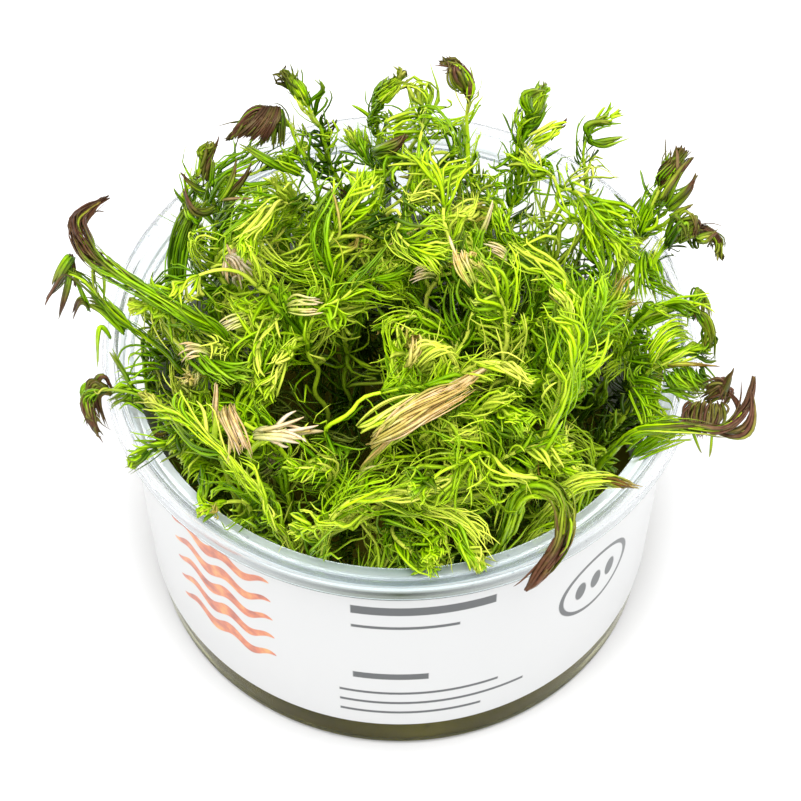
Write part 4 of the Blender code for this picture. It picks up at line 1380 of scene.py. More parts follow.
# %% Where the combed locks are
COMBS = {
    "27": [
        (14, 0.6, 0.5, (0.0, 0.1), 1.0, (39.8, 2.7, 50, 40.5, 1.3, 49),
         (36.8, -1.5, 58, 37.3, -4.4, 58), (33, -5.2, 62, 33.9, -10, 60)),
    ],
    "back_two": [
        (14, 0.7, 0.3, (0.3, 1.0), 0.8, (-4.5, 28.9, 75, -4.2, 27.4, 75),
         (-1.9, 26.6, 79, -1.3, 25.5, 78), (1.4, 27.6, 81, 1.1, 26.9, 80)),
    ],
    "18": [
        (9, 0.6, 0.9, (0.2, 0.8), 0.6, (-24.8, 0.1, 67, -24.1, -1.3, 67),
         (-26.9, -3.1, 71, -26.2, -4.4, 70), (-30.4, -5, 70, -29.5, -5.5, 69)),
    ],
    "03": [
        (6, 0.6, 0.7, (0.5, 1.0), 0.4, (12.8, 9.1, 76, 13.3, 8.7, 76),
         (14.2, 9.9, 80, 14.7, 10, 79), (15.4, 12.9, 82, 15.7, 12.5, 82)),
    ],
    "19": [
        (8, 0.6, 0.8, (0.6, 1.0), 0.4, (17.6, 4.5, 77, 17.6, 3.3, 77),
         (16.4, 4, 80, 16.7, 3.1, 79), (13.8, 4.6, 80, 14.1, 4.2, 79)),
    ],
    "01": [
        (7, 0.6, 0.8, (0.4, 1.0), 0.5, (6, 4.3, 73, 5.8, 3, 73),
         (4, 2.2, 77, 4.2, 0.7, 76), (1.4, 1.1, 76, 1.7, 0.3, 75)),
    ],
    "10": [
        (9, 0.6, 0.7, (0.4, 1.0), 0.6, (-18.5, -3.7, 75, -18.1, -5.5, 75),
         (-15.4, -5.5, 79, -15, -7.4, 77), (-12.4, -5.5, 78, -12.1, -7, 77)),
    ],
    "front_right_tip": [
        (6, 0.5, 0.05, (0.4, 1.0), 0.5, (29.6, -33.2, 69, 32.3, -35.4, 69),
         (33.3, -34.8, 70, 33.9, -35.8, 69.5), (37, -35.2, 68, 36.6, -35.2, 67.5)),
    ],
    "right_droop": [
        (18, 0.6, 0.14, (0.0, 0.4), 0.6, (48, -1, 69, 48.7, -1.9, 68),
         (49.2, 1.7, 72, 50.4, 0.8, 71), (50.3, -0.7, 67, 51.5, -2, 66)),
        (8, 0.6, 0.2, (0.5, 1.0), 0.5, (48, 0.8, 70, 48.3, -0.5, 69),
         (48.4, -2.1, 71, 49.5, -1.7, 70), (49.3, -1.9, 67, 50, -2.4, 66)),
        (20, 0.5, 0.26, (0.0, 0.05), 1.2, (39, 0.5, 66, 39.6, -1.7, 65),
         (43.4, 0.7, 69, 44.4, -1, 68), (48.1, 0.3, 69, 49.1, -1.1, 67)),
        (10, 0.45, 0.25, (0.0, 0.05), 1.4, (40.5, 10.2, 66, 41.3, 6.8, 66),
         (44, 5.3, 69, 44.9, 3.2, 69), (45.9, 2.3, 68, 48.2, 1.1, 68)),
        (26, 0.5, 0.36, (0.0, 0.05), 1.4, (40.7, 14.5, 66, 42.7, 14, 66),
         (39, 8.1, 67, 44.1, 8.9, 66), (39.5, 3.3, 65, 44.2, 3.8, 65)),
    ],
    "left_clump": [
        (30, 0.62, 0.25, (0.85, 1.0), 0.5, (-47.7, -13.8, 66, -46.9, -15.8, 66),
         (-50.7, -14.5, 68, -48.8, -16.2, 66), (-49.6, -17.6, 64, -47.8, -18.9, 61)),
        (20, 0.6, 0.16, (0.05, 0.3), 0.5, (-48.7, -13.4, 66, -47.9, -15, 66),
         (-51.7, -15, 67, -50.7, -17.4, 66), (-50.9, -17.2, 64, -48.2, -19, 62)),
        (6, 0.6, 0.3, (0.85, 1.0), 0.4, (-50.2, -14.2, 66, -49.6, -14.6, 66),
         (-48.5, -12.9, 68, -48.1, -13.7, 68), (-47.1, -14.3, 65, -46.9, -14.7, 65)),
        (22, 0.48, 0.2, (0.0, 0.15), 1.0, (-42.4, -13, 62, -41.9, -16.2, 62),
         (-45.1, -13.5, 65, -44.4, -16, 64), (-48.3, -13.3, 63, -47.3, -15.9, 61)),
        (15, 0.48, 0.28, (0.0, 0.0), 2.6, (-40.2, -4.3, 63, -38.9, -13.1, 61),
         (-43.8, -6.5, 66, -42.1, -15.1, 65), (-46.5, -8.3, 64, -45, -15, 62)),
        (3, 0.7, 0.12, (0.0, 0.1), 0.4, (-42.7, -13.8, 62, -42.4, -14.2, 62),
         (-45.5, -11, 66, -45.2, -10.6, 66), (-48.5, -5.3, 66, -48, -5.1, 66)),
        (4, 0.6, 0.45, (0.0, 0.1), 0.6, (-43.4, -12.1, 63, -43.4, -12.9, 63),
         (-45.7, -13.4, 66, -45.3, -14.2, 66), (-47.5, -13.6, 64, -47.1, -14.4, 64)),
    ],
    "front_left": [
        (16, 0.62, 0.5, (0.0, 0.0), 1.0, (-34.2, -14.8, 50, -28, -19.6, 50),
         (-35.1, -22, 57, -29, -27.1, 57), (-36.3, -23.4, 58, -31.2, -29.4, 57)),
        (12, 0.6, 0.62, (0.0, 0.1), 1.0, (-36.3, -13.1, 54, -32.1, -17.9, 54),
         (-37.1, -21.8, 62, -33.3, -26.1, 62), (-38.4, -20.2, 58, -34.9, -25.8, 58)),
        (6, 0.7, 0.2, (0.0, 0.1), 1.0, (-32.5, -26.3, 60, -31.5, -26.3, 60),
         (-32.1, -31.6, 62, -31.3, -32, 62), (-32.3, -34.7, 60, -31.5, -34.5, 60)),
        (12, 0.6, 0.5, (0.0, 0.0), 1.0, (-30.8, -20.6, 52, -30.4, -23, 52),
         (-33.4, -23, 58, -32.6, -25.8, 58), (-35.7, -25.2, 56, -34.8, -27.6, 56)),
    ],
    "dry_lying": [
        (34, 0.6, 0.42, (0.85, 1.0), 1.0, (-4.9, -34.1, 78, -3.7, -34.1, 81),
         (2.9, -32.7, 82, 1.6, -30, 84), (12.3, -24.6, 81, 11, -24.9, 83)),
        (10, 0.65, 0.9, (0.0, 0.15), 1.0, (-5.9, -32, 79, -6.8, -30.8, 80),
         (-0.7, -31.8, 82, -1.8, -29.1, 83), (6.3, -28.3, 83, 3.2, -27.5, 84)),
    ],
    "centre_fountain": [
        (13, 0.6, 0.82, (0.0, 0.0), 1.0, (0.7, -23.6, 86, 3.2, -24.3, 86),
         (4.4, -22.3, 90, 7.8, -23.1, 88), (7.3, -24, 84, 9.8, -21, 82)),
        (6, 0.8, 0.9, (0.6, 1.0), 1.0, (0.8, -24.7, 86, 1.9, -24.3, 86),
         (1.9, -23.8, 89, 3.2, -23.5, 89), (2.2, -21.3, 90, 3.8, -21.1, 90)),
    ],
    "dry_spread": [
        (8, 0.85, 0.95, (0.7, 1.0), 1.0, (-23.3, -28.8, 75, -22.6, -30, 75),
         (-18.7, -30.1, 79, -20, -31.4, 76), (-14.9, -28.7, 80, -18.2, -32.3, 74)),
        (5, 0.9, 0.9, (0.5, 1.0), 1.0, (-22.8, -29.6, 75, -22.8, -30, 75),
         (-18.1, -31.3, 78, -18.7, -32.1, 77), (-13.7, -32.8, 78, -15, -33.3, 76)),
    ],
    "dry_upright": [
        (18, 0.6, 0.62, (1.0, 1.0), 1.0, (-28.7, -26.1, 76, -26.2, -25.2, 77),
         (-27.1, -31.6, 79, -24.9, -31.5, 80), (-25.4, -33.9, 74, -22.9, -33.1, 74)),
        (2, 0.6, 0.6, (1.0, 1.0), 1.0, (-26.9, -29.8, 78, -26.6, -29.8, 78),
         (-26.7, -32.6, 76, -26.6, -32.6, 76), (-27.4, -35.1, 73, -27.1, -35.1, 73)),
    ],
    "back_left_pink": [
        (7, 0.8, 0.95, (1.0, 1.0), 1.0, (-29.3, 5.7, 75, -27.9, 6.1, 76),
         (-26.6, 1.7, 79, -25.3, 1.7, 80), (-26.2, 0.6, 74, -23.5, 1.5, 76)),
        (3, 0.7, 0.8, (0.9, 1.0), 1.0, (-28.2, 5.3, 76, -27.6, 5.7, 76),
         (-28.6, 2.4, 76, -28.1, 2, 76), (-28.6, 2.6, 72, -28, 2.2, 72)),
    ],
    "left_pink": [
        (9, 0.6, 0.75, (0.5, 1.0), 0.6, (-30.9, -9.9, 70, -30.5, -11.1, 70),
         (-33.3, -10.5, 73, -33, -12.2, 72), (-36.4, -10.2, 71, -35.7, -11.9, 70)),
    ],
    "back_left": [
        (5, 0.85, 0.25, (0.7, 1.0), 0.3, (-32.9, 20.7, 77, -32, 20.7, 77),
         (-32.5, 22.5, 80, -31.3, 22.5, 80), (-30.3, 24.8, 84, -30.2, 24.5, 84)),
        (3, 0.8, 0.2, (0.0, 0.5), 0.4, (-32, 19.8, 77, -31.3, 19.8, 77),
         (-31.6, 21.2, 79, -31.1, 21.2, 79), (-31.2, 22.5, 81, -30.9, 22.3, 81)),
        (2, 0.7, 0.25, (0.2, 0.9), 0.4, (-33.1, 21.5, 77, -32.9, 21.5, 77),
         (-33.2, 23.4, 79, -33, 23.4, 79), (-32.4, 24.1, 82, -32.2, 23.9, 82)),
        (4, 0.8, 0.2, (0.3, 1.0), 0.5, (-32.5, 18.5, 77, -32.4, 18.5, 76),
         (-34.5, 18.1, 79, -34.4, 18.1, 78), (-36.7, 18.7, 82, -36.6, 19.1, 81)),
        (6, 0.8, 0.2, (0.6, 1.0), 0.5, (-31, 16.7, 75, -30.6, 15.4, 75),
         (-34.1, 14.6, 77, -33.8, 14.2, 76), (-36.2, 17.3, 80, -36, 17.5, 79)),
        (4, 0.7, 0.16, (0.0, 0.3), 0.8, (-34, 14.1, 74, -33.6, 13.2, 74),
         (-35.2, 14.6, 76, -34.9, 14.1, 75), (-35.9, 17.2, 77, -36.2, 15.9, 76)),
        (3, 0.8, 0.3, (0.3, 0.9), 0.4, (-30.3, 17.2, 76, -29.8, 16.7, 76),
         (-28.4, 18.6, 79, -28, 18.1, 79), (-26.8, 21.3, 82, -26.7, 21, 82)),
        (4, 0.85, 0.3, (0.5, 1.0), 0.4, (-29.6, 17.2, 76, -28.9, 16.5, 76),
         (-27, 18.1, 79, -26.7, 18.5, 78), (-23.8, 20.6, 82, -24, 20.2, 82)),
        (2, 0.8, 0.8, (0.8, 1.0), 0.3, (-29.5, 15.5, 78, -29.5, 15.3, 78),
         (-27.1, 15.1, 79, -27.1, 14.9, 79), (-24.6, 15.4, 79, -24.6, 15.1, 79)),
        (24, 0.55, 0.06, (0.0, 0.05), 1.4, (-38.8, 8.2, 62, -36.4, 8.2, 62),
         (-37.9, 14.3, 70, -35.2, 14.3, 70), (-33.9, 16.4, 77, -31.6, 17.2, 77)),
    ],
    "back_left_hook": [
        (44, 0.7, 0.04, (0.97, 1.0), 0.35, (-22.4, 30.9, 84, -20, 30.7, 84),
         (-24.9, 27.2, 84, -20.8, 27.4, 83), (-27.8, 25.2, 82, -22.9, 26, 80)),
        (20, 0.7, 0.1, (0.3, 0.6), 0.5, (-21.4, 31.8, 83, -19.5, 30.9, 83),
         (-22.3, 27.8, 82, -19.4, 28.2, 81), (-24.2, 26.8, 78, -19.5, 26.8, 77)),
        (8, 0.6, 0.22, (0.0, 0.1), 0.6, (-16.9, 26.6, 72, -17.4, 25.9, 72),
         (-22.2, 25.9, 77, -22.6, 25, 77), (-27.4, 26.7, 80, -27.2, 26.2, 80)),
        (10, 0.5, 0.3, (0.0, 0.1), 1.2, (-16.9, 26.5, 71, -16.3, 28.3, 71),
         (-19.1, 25, 76, -18.1, 26.3, 76), (-21.8, 25.9, 78, -19.8, 26.4, 78)),
    ],
    "right_back": [
        (6, 1.2, 0.5, (0.6, 1.0), 0.6, (43.7, 16.4, 77, 44.8, 16.3, 76),
         (45.5, 18.2, 81, 46.2, 18.2, 80), (48.3, 20.2, 84, 48.5, 19.8, 84)),
        (5, 1.1, 0.4, (0.4, 1.0), 0.6, (44.4, 15.5, 76, 45.4, 15.4, 75),
         (46.9, 16.4, 79, 47.6, 16.4, 78), (49.5, 18.2, 82, 49.6, 17.4, 82)),
        (4, 0.8, 0.4, (0.5, 1.0), 0.6, (44.7, 14.6, 75, 45.5, 14.9, 74),
         (46.9, 14.2, 77, 47.3, 14.6, 76), (48.8, 14.7, 78, 48.8, 14.3, 78)),
        (2, 0.6, 0.95, (0.9, 1.0), 0.2, (46.1, 19, 80, 46.3, 19, 80),
         (45.9, 20, 83, 46.1, 20, 83), (45.7, 21.7, 85, 45.8, 21.7, 85)),
        (3, 0.6, 0.25, (0.0, 0.1), 0.4, (42.5, 19.4, 77, 42.9, 19.3, 76),
         (43.7, 21.2, 80, 44, 20.8, 80), (44.9, 22.4, 83, 45, 22.1, 83)),
        (16, 0.6, 0.28, (0.0, 0.2), 1.2, (38.8, 16, 70, 41.2, 15.1, 69),
         (40.8, 18, 76, 43.3, 17.1, 74), (42.8, 19.8, 78, 45.5, 18.5, 76)),
    ],
    "right_clump": [
        (16, 0.75, 0.4, (0.6, 1.0), 0.8, (45.9, 12.5, 76, 46.4, 11, 72),
         (48.7, 12.6, 78, 49.7, 11.9, 74), (48.6, 10.2, 73, 49.7, 11.9, 73)),
        (14, 0.7, 0.2, (0.1, 0.5), 0.9, (44, 11.1, 74, 44.8, 10.1, 71),
         (45.7, 12.1, 78, 47.2, 11.6, 76), (46.4, 10.1, 72, 48.5, 10.5, 71)),
        (5, 0.9, 0.45, (0.5, 0.9), 0.5, (49.3, 11.1, 74, 49.7, 11, 73),
         (51, 11.5, 74, 51.6, 10.7, 74), (53, 11.6, 75, 53, 11.4, 75)),
        (18, 0.6, 0.42, (0.0, 0.1), 1.0, (35, 4.8, 50, 35.8, 6.2, 51),
         (35.8, -0.7, 58, 37.9, 1, 58), (35.1, -8.5, 58, 39.3, -5.6, 58)),
    ],
    "right_hook": [
        (6, 0.9, 0.3, (0.85, 1.0), 0.4, (51.1, -18.3, 70, 52.1, -18.4, 69),
         (52.4, -17.7, 73, 52.7, -18.5, 73), (53.2, -17.8, 77, 53.3, -18, 77)),
        (5, 0.9, 0.25, (0.9, 1.0), 0.4, (52.3, -22.8, 68, 52.8, -23.6, 68),
         (54.4, -21.8, 70, 54.7, -22.2, 70), (52.6, -19.6, 73, 52.8, -20, 73)),
        (2, 0.5, 0.4, (0.2, 0.6), 0.3, (47.3, -22.6, 66, 47.4, -22.6, 66),
         (48.3, -24.4, 64, 48.5, -24.4, 64), (49.1, -24.6, 62, 49.3, -24.6, 62)),
        (2, 0.5, 0.4, (0.2, 0.6), 0.3, (50.5, -22.6, 66, 50.7, -22.6, 66),
         (50.4, -24.4, 64, 50.6, -24.4, 64), (50.2, -25.2, 62, 50.2, -25.3, 62)),
        (26, 0.5, 0.32, (0.0, 0.1), 1.2, (37.4, -21.2, 60, 38.1, -23.4, 58),
         (42.2, -20.6, 66, 42.9, -23.7, 63), (47.1, -20.6, 66, 47.8, -22.4, 64)),
        (16, 0.5, 0.3, (0.0, 0.05), 1.2, (39.3, -22.8, 60, 42.7, -20.4, 60),
         (42.3, -21.6, 64, 45, -20, 64), (46.1, -21.4, 66, 47.8, -19.8, 66)),
        (20, 0.6, 0.1, (0.9, 1.0), 0.8, (47.6, -19.2, 68.5, 51.3, -18.5, 67.5),
         (46.8, -20.3, 65.5, 51.7, -19.9, 65.5), (49, -20.8, 62, 50, -20.6, 62)),
        (9, 0.9, 0.55, (0.8, 1.0), 0.5, (49.7, -22.8, 68, 50.7, -23.5, 67),
         (55.2, -24.2, 70, 55.9, -25.1, 69), (56.3, -19.2, 74, 56.4, -19.6, 74)),
        (22, 0.55, 0.45, (0.92, 1.0), 1.0, (49.1, -17.2, 71, 49.6, -18.9, 68),
         (52, -17.3, 73, 53.3, -18.7, 70), (51.1, -19.2, 69, 52.3, -19.3, 67)),
        (32, 0.55, 0.6, (0.92, 1.0), 0.9, (46.8, -19.9, 70, 52.1, -19.2, 69),
         (45.8, -21.3, 67, 52.6, -20.9, 67), (48.7, -22.1, 63, 50, -22.1, 63)),
    ],
    "right_brush": [
        (6, 0.6, 0.4, (0.7, 0.95), 0.4, (43.5, -13.4, 71, 43.5, -13.6, 71),
         (47, -13.6, 72, 47, -14, 72), (52.3, -13.4, 71, 52.3, -13.6, 71)),
        (16, 0.5, 0.5, (0.0, 0.1), 0.9, (40.4, -8, 68, 41.4, -10.5, 67),
         (44, -5.3, 71, 45.2, -7.4, 70), (47.5, -3.8, 69, 49.3, -5.7, 66)),
        (26, 0.5, 0.3, (0.0, 0.05), 1.6, (37.3, 0.6, 62, 38.5, -15, 58),
         (40.7, -3.1, 68, 42.3, -17.8, 62), (43.7, -4.5, 66, 45.3, -19.1, 61)),
        (20, 0.5, 0.34, (0.0, 0.05), 1.4, (38, -12.2, 62, 41.4, -11, 62),
         (39.5, -15.9, 61, 42.9, -14.7, 61), (39, -20.8, 60, 43.4, -19.6, 60)),
        (40, 0.5, 0.12, (0.0, 0.1), 1.2, (42.9, -14.3, 70, 49, -13.2, 71),
         (43.7, -16.7, 70, 50.3, -14.7, 70), (47, -17, 66, 51.5, -15.4, 67)),
        (26, 0.5, 0.18, (0.0, 0.1), 1.2, (42.6, -16.5, 68, 44.9, -12.9, 70),
         (45.1, -17.6, 69, 47.7, -14.7, 70), (49.2, -17.4, 66, 50.9, -13.7, 68)),
    ],
    "left_hook": [
        (3, 0.45, 0.35, (0.2, 0.5), 1.0, (-49.7, 0.6, 83, -49.3, 0.6, 83),
         (-49.9, -0.2, 78, -49.2, -0.5, 77), (-50, -1, 74, -48.5, -2.4, 72)),
    ],
    "left_fork": [
        (5, 1.0, 0.22, (0.1, 0.9), 0.4, (-54.3, 6.1, 75, -53.5, 5.9, 75),
         (-56, 4.4, 74, -54.9, 3.5, 74), (-58.6, 3.7, 67, -58.3, 3.5, 67)),
        (4, 0.8, 0.3, (0.9, 1.0), 0.4, (-54.4, 6.5, 75, -53.9, 6.5, 75),
         (-53.8, 4.7, 73, -53.4, 4.3, 73), (-54, 3.3, 70, -53.4, 2.9, 70)),
        (5, 0.8, 0.2, (0.2, 1.0), 0.4, (-54.7, 5.2, 74, -54.4, 4.8, 74),
         (-54.9, 0.9, 72, -54.6, 0.9, 72), (-56.9, -0.8, 66, -56.7, -1, 66)),
        (8, 0.65, 0.22, (0.0, 0.2), 0.6, (-51.7, 1.1, 68, -51.3, -0.2, 68),
         (-53.1, 2.6, 72, -52.7, 1.7, 72), (-54.4, 5.6, 74, -54, 4.8, 74)),
        (5, 0.8, 0.22, (0.6, 1.0), 0.4, (-51.6, 0.3, 69, -51.2, -0.5, 69),
         (-53.1, 0.8, 70, -52.8, -0.1, 70), (-54.6, -0.1, 66, -54.4, -0.6, 66)),
        (18, 0.65, 0.22, (0.0, 0.6), 0.6, (-45.6, -3.2, 66, -45.1, -0.8, 66),
         (-48.8, -1.4, 69, -48.3, 0.7, 69), (-52.7, 1.1, 68, -52.2, 3.1, 68)),
        (3, 0.5, 0.4, (0.0, 0.1), 0.6, (-49.6, 1.5, 69, -49.5, 1.5, 69),
         (-50.3, 0.2, 68, -50, 0.2, 68), (-51.4, 3.6, 69, -51.1, 3.6, 69)),
        (3, 0.8, 0.35, (0.0, 0.0), 0.3, (-47.8, -4.8, 67, -47.6, -5, 67),
         (-49.6, -4.3, 69, -49.4, -4.7, 69), (-49.9, -8.4, 63, -49.7, -8.6, 63)),
        (2, 0.4, 0.4, (0.0, 0.2), 0.3, (-49.7, 5.7, 75, -49.5, 5.7, 75),
         (-48.9, 3.5, 73, -48.8, 3.5, 73), (-49.1, 0.7, 69, -48.9, 0.5, 69)),
    ],
    "back_right": [
        (8, 0.7, 0.75, (0.0, 0.0), 1.0, (21.6, 28.2, 80, 23.1, 28.1, 76),
         (24.9, 29.5, 81, 25.7, 28.2, 79), (28, 30, 81, 27, 28.6, 80)),
        (9, 0.8, 0.2, (0.0, 0.5), 1.0, (21.8, 29.6, 84, 22.5, 29.6, 84),
         (20.4, 30.9, 86, 21.7, 30.5, 88), (23.4, 31.4, 88, 24.4, 30.9, 87)),
        (2, 0.6, 0.4, (0.2, 1.0), 1.0, (25, 28.6, 78, 25.4, 28.1, 78),
         (27, 30, 80, 27.2, 29.7, 80), (28.7, 30.2, 81, 28.6, 30, 81)),
    ],
    "back_right_thin": [
        (4, 1.0, 0.3, (0.0, 0.1), 1.0, (31.9, 26.9, 81, 32.3, 26.9, 80),
         (33.7, 26.4, 79, 34, 26.9, 79), (38.3, 27.3, 80, 38.3, 26.9, 80)),
        (3, 1.0, 0.25, (0.0, 0.3), 1.0, (31.4, 26.9, 81, 31.9, 27.3, 81),
         (31.8, 27.8, 83, 32.5, 27.4, 83), (36.2, 28.7, 83, 36.2, 28.3, 83)),
    ],
    "back_tall": [
        (9, 0.75, 0.4, (0.7, 1.0), 1.0, (10.4, 32.7, 86, 11.8, 32.3, 86),
         (8.4, 32.7, 89, 10.4, 32.2, 90), (8.7, 34.4, 91, 9.7, 34, 91)),
    ],
    "yellow_whorl": [
        (10, 0.6, 0.6, (0.5, 1.0), 0.6, (11.1, -10.2, 88, 12.2, -9.4, 88),
         (9, -8.5, 90.5, 10.8, -7.3, 90.5), (8.3, -4.5, 91.5, 10.5, -4.9, 91.5)),
        (2, 0.5, 0.8, (0.6, 1.0), 0.3, (9.2, -6.9, 91, 9.4, -6.9, 91),
         (8.3, -4.5, 91.5, 8.4, -4.5, 91.5), (7.7, -1.7, 92, 7.7, -1.7, 92)),
    ],
}

# %% Grow them all
FINISHES = {"open": living_leaf, "closed": clinging_leaf, "tail": clinging_leaf, "dry": dead_leaf}
HEAD_VALUES = {
    "browning": "head_brown",
    "swell": "head_swell",
    "crowd": "head_crowd",
    "tone": "head_tone",
}
BACK_ROW = 8.0
leaf_total, triangle_total = 0, 0
for number, name in enumerate(shoot_names):
    line = lines[name]
    short = name.removeprefix("shoot_")
    kind = "open"
    for set_name, members in (("tail", TAILS), ("closed", CLOSED), ("dry", DRY)):
        if short in members:
            kind = set_name
    rng = np.random.default_rng(100 + number)
    look = dict(KINDS[kind])
    if short.isdigit():
        look["tone"] = rng.uniform(0.3, 0.66)
        look["curl"] = rng.uniform(-35, 35)
        look["open"] = rng.uniform(38, 66)
        look["length"] = rng.uniform(9.0, 13.0)
        look["stem_tone"] = rng.uniform(0.6, 1.0)
        look["stem"] = 0.4
        look["per_whorl"] = 11
        look["wander"] = 1.8
        look["twigs"] = 2
    if line["place"][-1][1] > BACK_ROW and kind == "open":
        look["kept"] = 0.92
    look.update(OWN_LOOKS.get(short, {}))
    line = wander(line, look["wander"], rng)
    shoot = ShootMesh()
    grow_stem(shoot, line, look)
    grow = grow_locks if kind in ("open", "closed") else grow_tail
    leaf_total += grow(shoot, line, look, rng)
    end = line["at"][-1]
    if "head" in look:
        neck = (end - look["head"]) / end
        head_look = {**HEAD_LOOK, "start": neck * end, "brown_from": neck, "brown_full": neck + 0.06}
        for key, own in HEAD_VALUES.items():
            head_look[key] = look.get(own, head_look[key])
        leaf_total += grow_tail(shoot, line, head_look, rng)
    if "wrap" in look:
        leaf_total += grow_tail(shoot, line, {**WRAP_LOOK, "strands": look["wrap"]}, rng)
    for count, width, tone, browning, mess, *lines_across in COMBS.get(short, []):
        leaf_total += comb_lock(shoot, lines_across, count, width, tone, browning, mess, rng)
    for _ in range(look["twigs"]):
        twig_look = {**look, **TWIG_LOOK, "tone": look["tone"] + rng.uniform(-0.1, 0.25)}
        side_shoot = twig_line(line, rng)
        if side_shoot is None:
            continue
        grow_stem(shoot, side_shoot, twig_look)
        leaf_total += grow_locks(shoot, side_shoot, twig_look, rng)
    leaf_material = look.get("finish", FINISHES[kind])
    piece = shoot.build("leafy_" + short, [leaf_material, stem_finish])
    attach(piece, "root")
    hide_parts(name)
    triangle_total += triangles(piece)
print("leaves:", leaf_total, "triangles:", triangle_total)

# %% [markdown]
# ## Plastic, gel and print
# Below, round the gel, the cup is clear: see-through by plain transmission, with a pale olive
# tint that turns dark olive in its lowest millimetre. Its rim is hazier, with pale and dark rings
# painted on it as painted highlights and painted shade, strongest at the front. The wall between
# them looks milky, because the white film lies right behind it. The upper inside of the wall glows
# with emission strength 0.9: painted light, in place of the daylight that a thin film lets through
# and the solid film here stops. The gel is olive all through, with darker crumbs. The label is a
# satin white film with a simple print.

# %% Clear plastic round the gel
# The clear plastic is tinted pale olive, and dark olive below about one millimetre of height.
PLATE_TINT, PALE_OLIVE_TINT = (0.34, 0.33, 0.12), (0.80, 0.775, 0.62)
clear_plastic = plain_material("clear_plastic", (0.985, 0.992, 0.995, 1.0), 0.05)
tree = clear_plastic.node_tree
shader = tree.nodes["Principled BSDF"]
shader.inputs["Transmission Weight"].default_value = 1.0
shader.inputs["IOR"].default_value = 1.09
place = tree.nodes.new("ShaderNodeTexCoord").outputs["Object"]
height_up = add_node(tree, "ShaderNodeSeparateXYZ", Vector=place).outputs[2]
plate_share = maths(tree, "DIVIDE", height_up, 2.0 * MM)
plate_colour = ramp(tree, plate_share, (0.45, PLATE_TINT), (0.65, PALE_OLIVE_TINT))
tree.links.new(plate_colour, shader.inputs["Base Color"])
ripple = object_noise(tree, 110.0, 2.0)
ripple_bump = add_node(tree, "ShaderNodeBump", Height=ripple, Strength=0.12, Distance=0.0004)
tree.links.new(ripple_bump.outputs[0], shader.inputs["Normal"])

# %% Milky wall, and a copy that glows as painted light
WALL_GLOW = 0.9
milky_wall = plain_material("milky_wall", (0.97, 0.98, 0.985, 1.0), 0.25)
tree = milky_wall.node_tree
shader = tree.nodes["Principled BSDF"]
shader.inputs["Transmission Weight"].default_value = 0.1
shader.inputs["IOR"].default_value = 1.46
milk = object_noise(tree, 60.0, 3.0)
milk_colour = ramp(tree, milk, (0.3, (0.93, 0.95, 0.96)), (0.7, (0.99, 0.99, 0.99)))
tree.links.new(milk_colour, shader.inputs["Base Color"])
milk_bump = add_node(tree, "ShaderNodeBump", Height=milk, Strength=0.1, Distance=0.0004)
tree.links.new(milk_bump.outputs[0], shader.inputs["Normal"])

# Painted light: the upper inside of the wall glows with emission strength WALL_GLOW, in place of
# daylight through the white film.
painted_glow_wall = milky_wall.copy()
painted_glow_wall.name = "painted_glow_wall"
shader = painted_glow_wall.node_tree.nodes["Principled BSDF"]
shader.inputs["Emission Color"].default_value = (1.0, 1.0, 1.0, 1.0)
shader.inputs["Emission Strength"].default_value = WALL_GLOW

# %% Hazy plastic for the rim
# Painted highlights and painted shade: pale and dark rings on the rim by distance from the axis, mild at
# the sides and strong across the front, with dark lines on the outer skirt.
RIM_SHADE_GLINT_BANDS = [
    (44.6, (0.78, 0.82, 0.86)),
    (44.9, (0.86, 0.90, 0.93)),
    (46.4, (0.84, 0.88, 0.91)),
    (47.1, (0.92, 0.94, 0.96)),
    (47.3, (0.84, 0.87, 0.90)),
    (47.5, (0.98, 0.99, 1.0)),
    (49.6, (0.97, 0.98, 1.0)),
    (50.0, (0.94, 0.95, 0.97)),
]
FRONT_SHADE_GLINT_BANDS = [
    (44.6, (0.60, 0.69, 0.67)),
    (45.0, (0.42, 0.51, 0.49)),
    (45.5, (0.56, 0.65, 0.65)),
    (46.0, (0.70, 0.79, 0.80)),
    (46.4, (0.54, 0.61, 0.63)),
    (46.8, (0.68, 0.76, 0.79)),
    (47.25, (0.60, 0.67, 0.71)),
    (47.6, (0.82, 0.88, 0.91)),
    (48.1, (0.53, 0.62, 0.66)),
    (48.6, (0.60, 0.68, 0.72)),
    (49.0, (0.85, 0.90, 0.92)),
    (50.0, (0.86, 0.91, 0.92)),
]
SKIRT_SPAN = RIM_TOP - SKIRT_BOTTOM
SKIRT_SHADE_GLINT_BANDS = [
    (57.9, (0.03, 0.035, 0.03)),
    (58.1, (0.04, 0.045, 0.04)),
    (58.18, (0.97, 0.98, 0.97)),
    (58.4, (0.97, 0.98, 0.97)),
    (58.5, (0.22, 0.25, 0.18)),
    (59.3, (0.18, 0.21, 0.14)),
    (59.45, (0.03, 0.04, 0.015)),
    (59.95, (0.03, 0.04, 0.02)),
    (60.15, (0.5, 0.54, 0.46)),
    (60.35, (0.97, 0.98, 0.97)),
]
STREAK_COLOURS = [(0.3, (0.95, 0.965, 0.975)), (0.52, (0.985, 0.99, 0.99)), (0.7, WHITE)]
SKIRT_RADIUS = 49.52
FRONT_HALF_WIDTH, FRONT_DEPTH = 38.0, 20.0
FROST_RADIUS = 47.0


def bands_ramp(tree, value, bands, low, wide):
    """A ramp whose stops are given as places between low and low + wide, in millimetres."""
    return ramp(tree, value, *[((place - low) / wide, colour) for place, colour in bands])


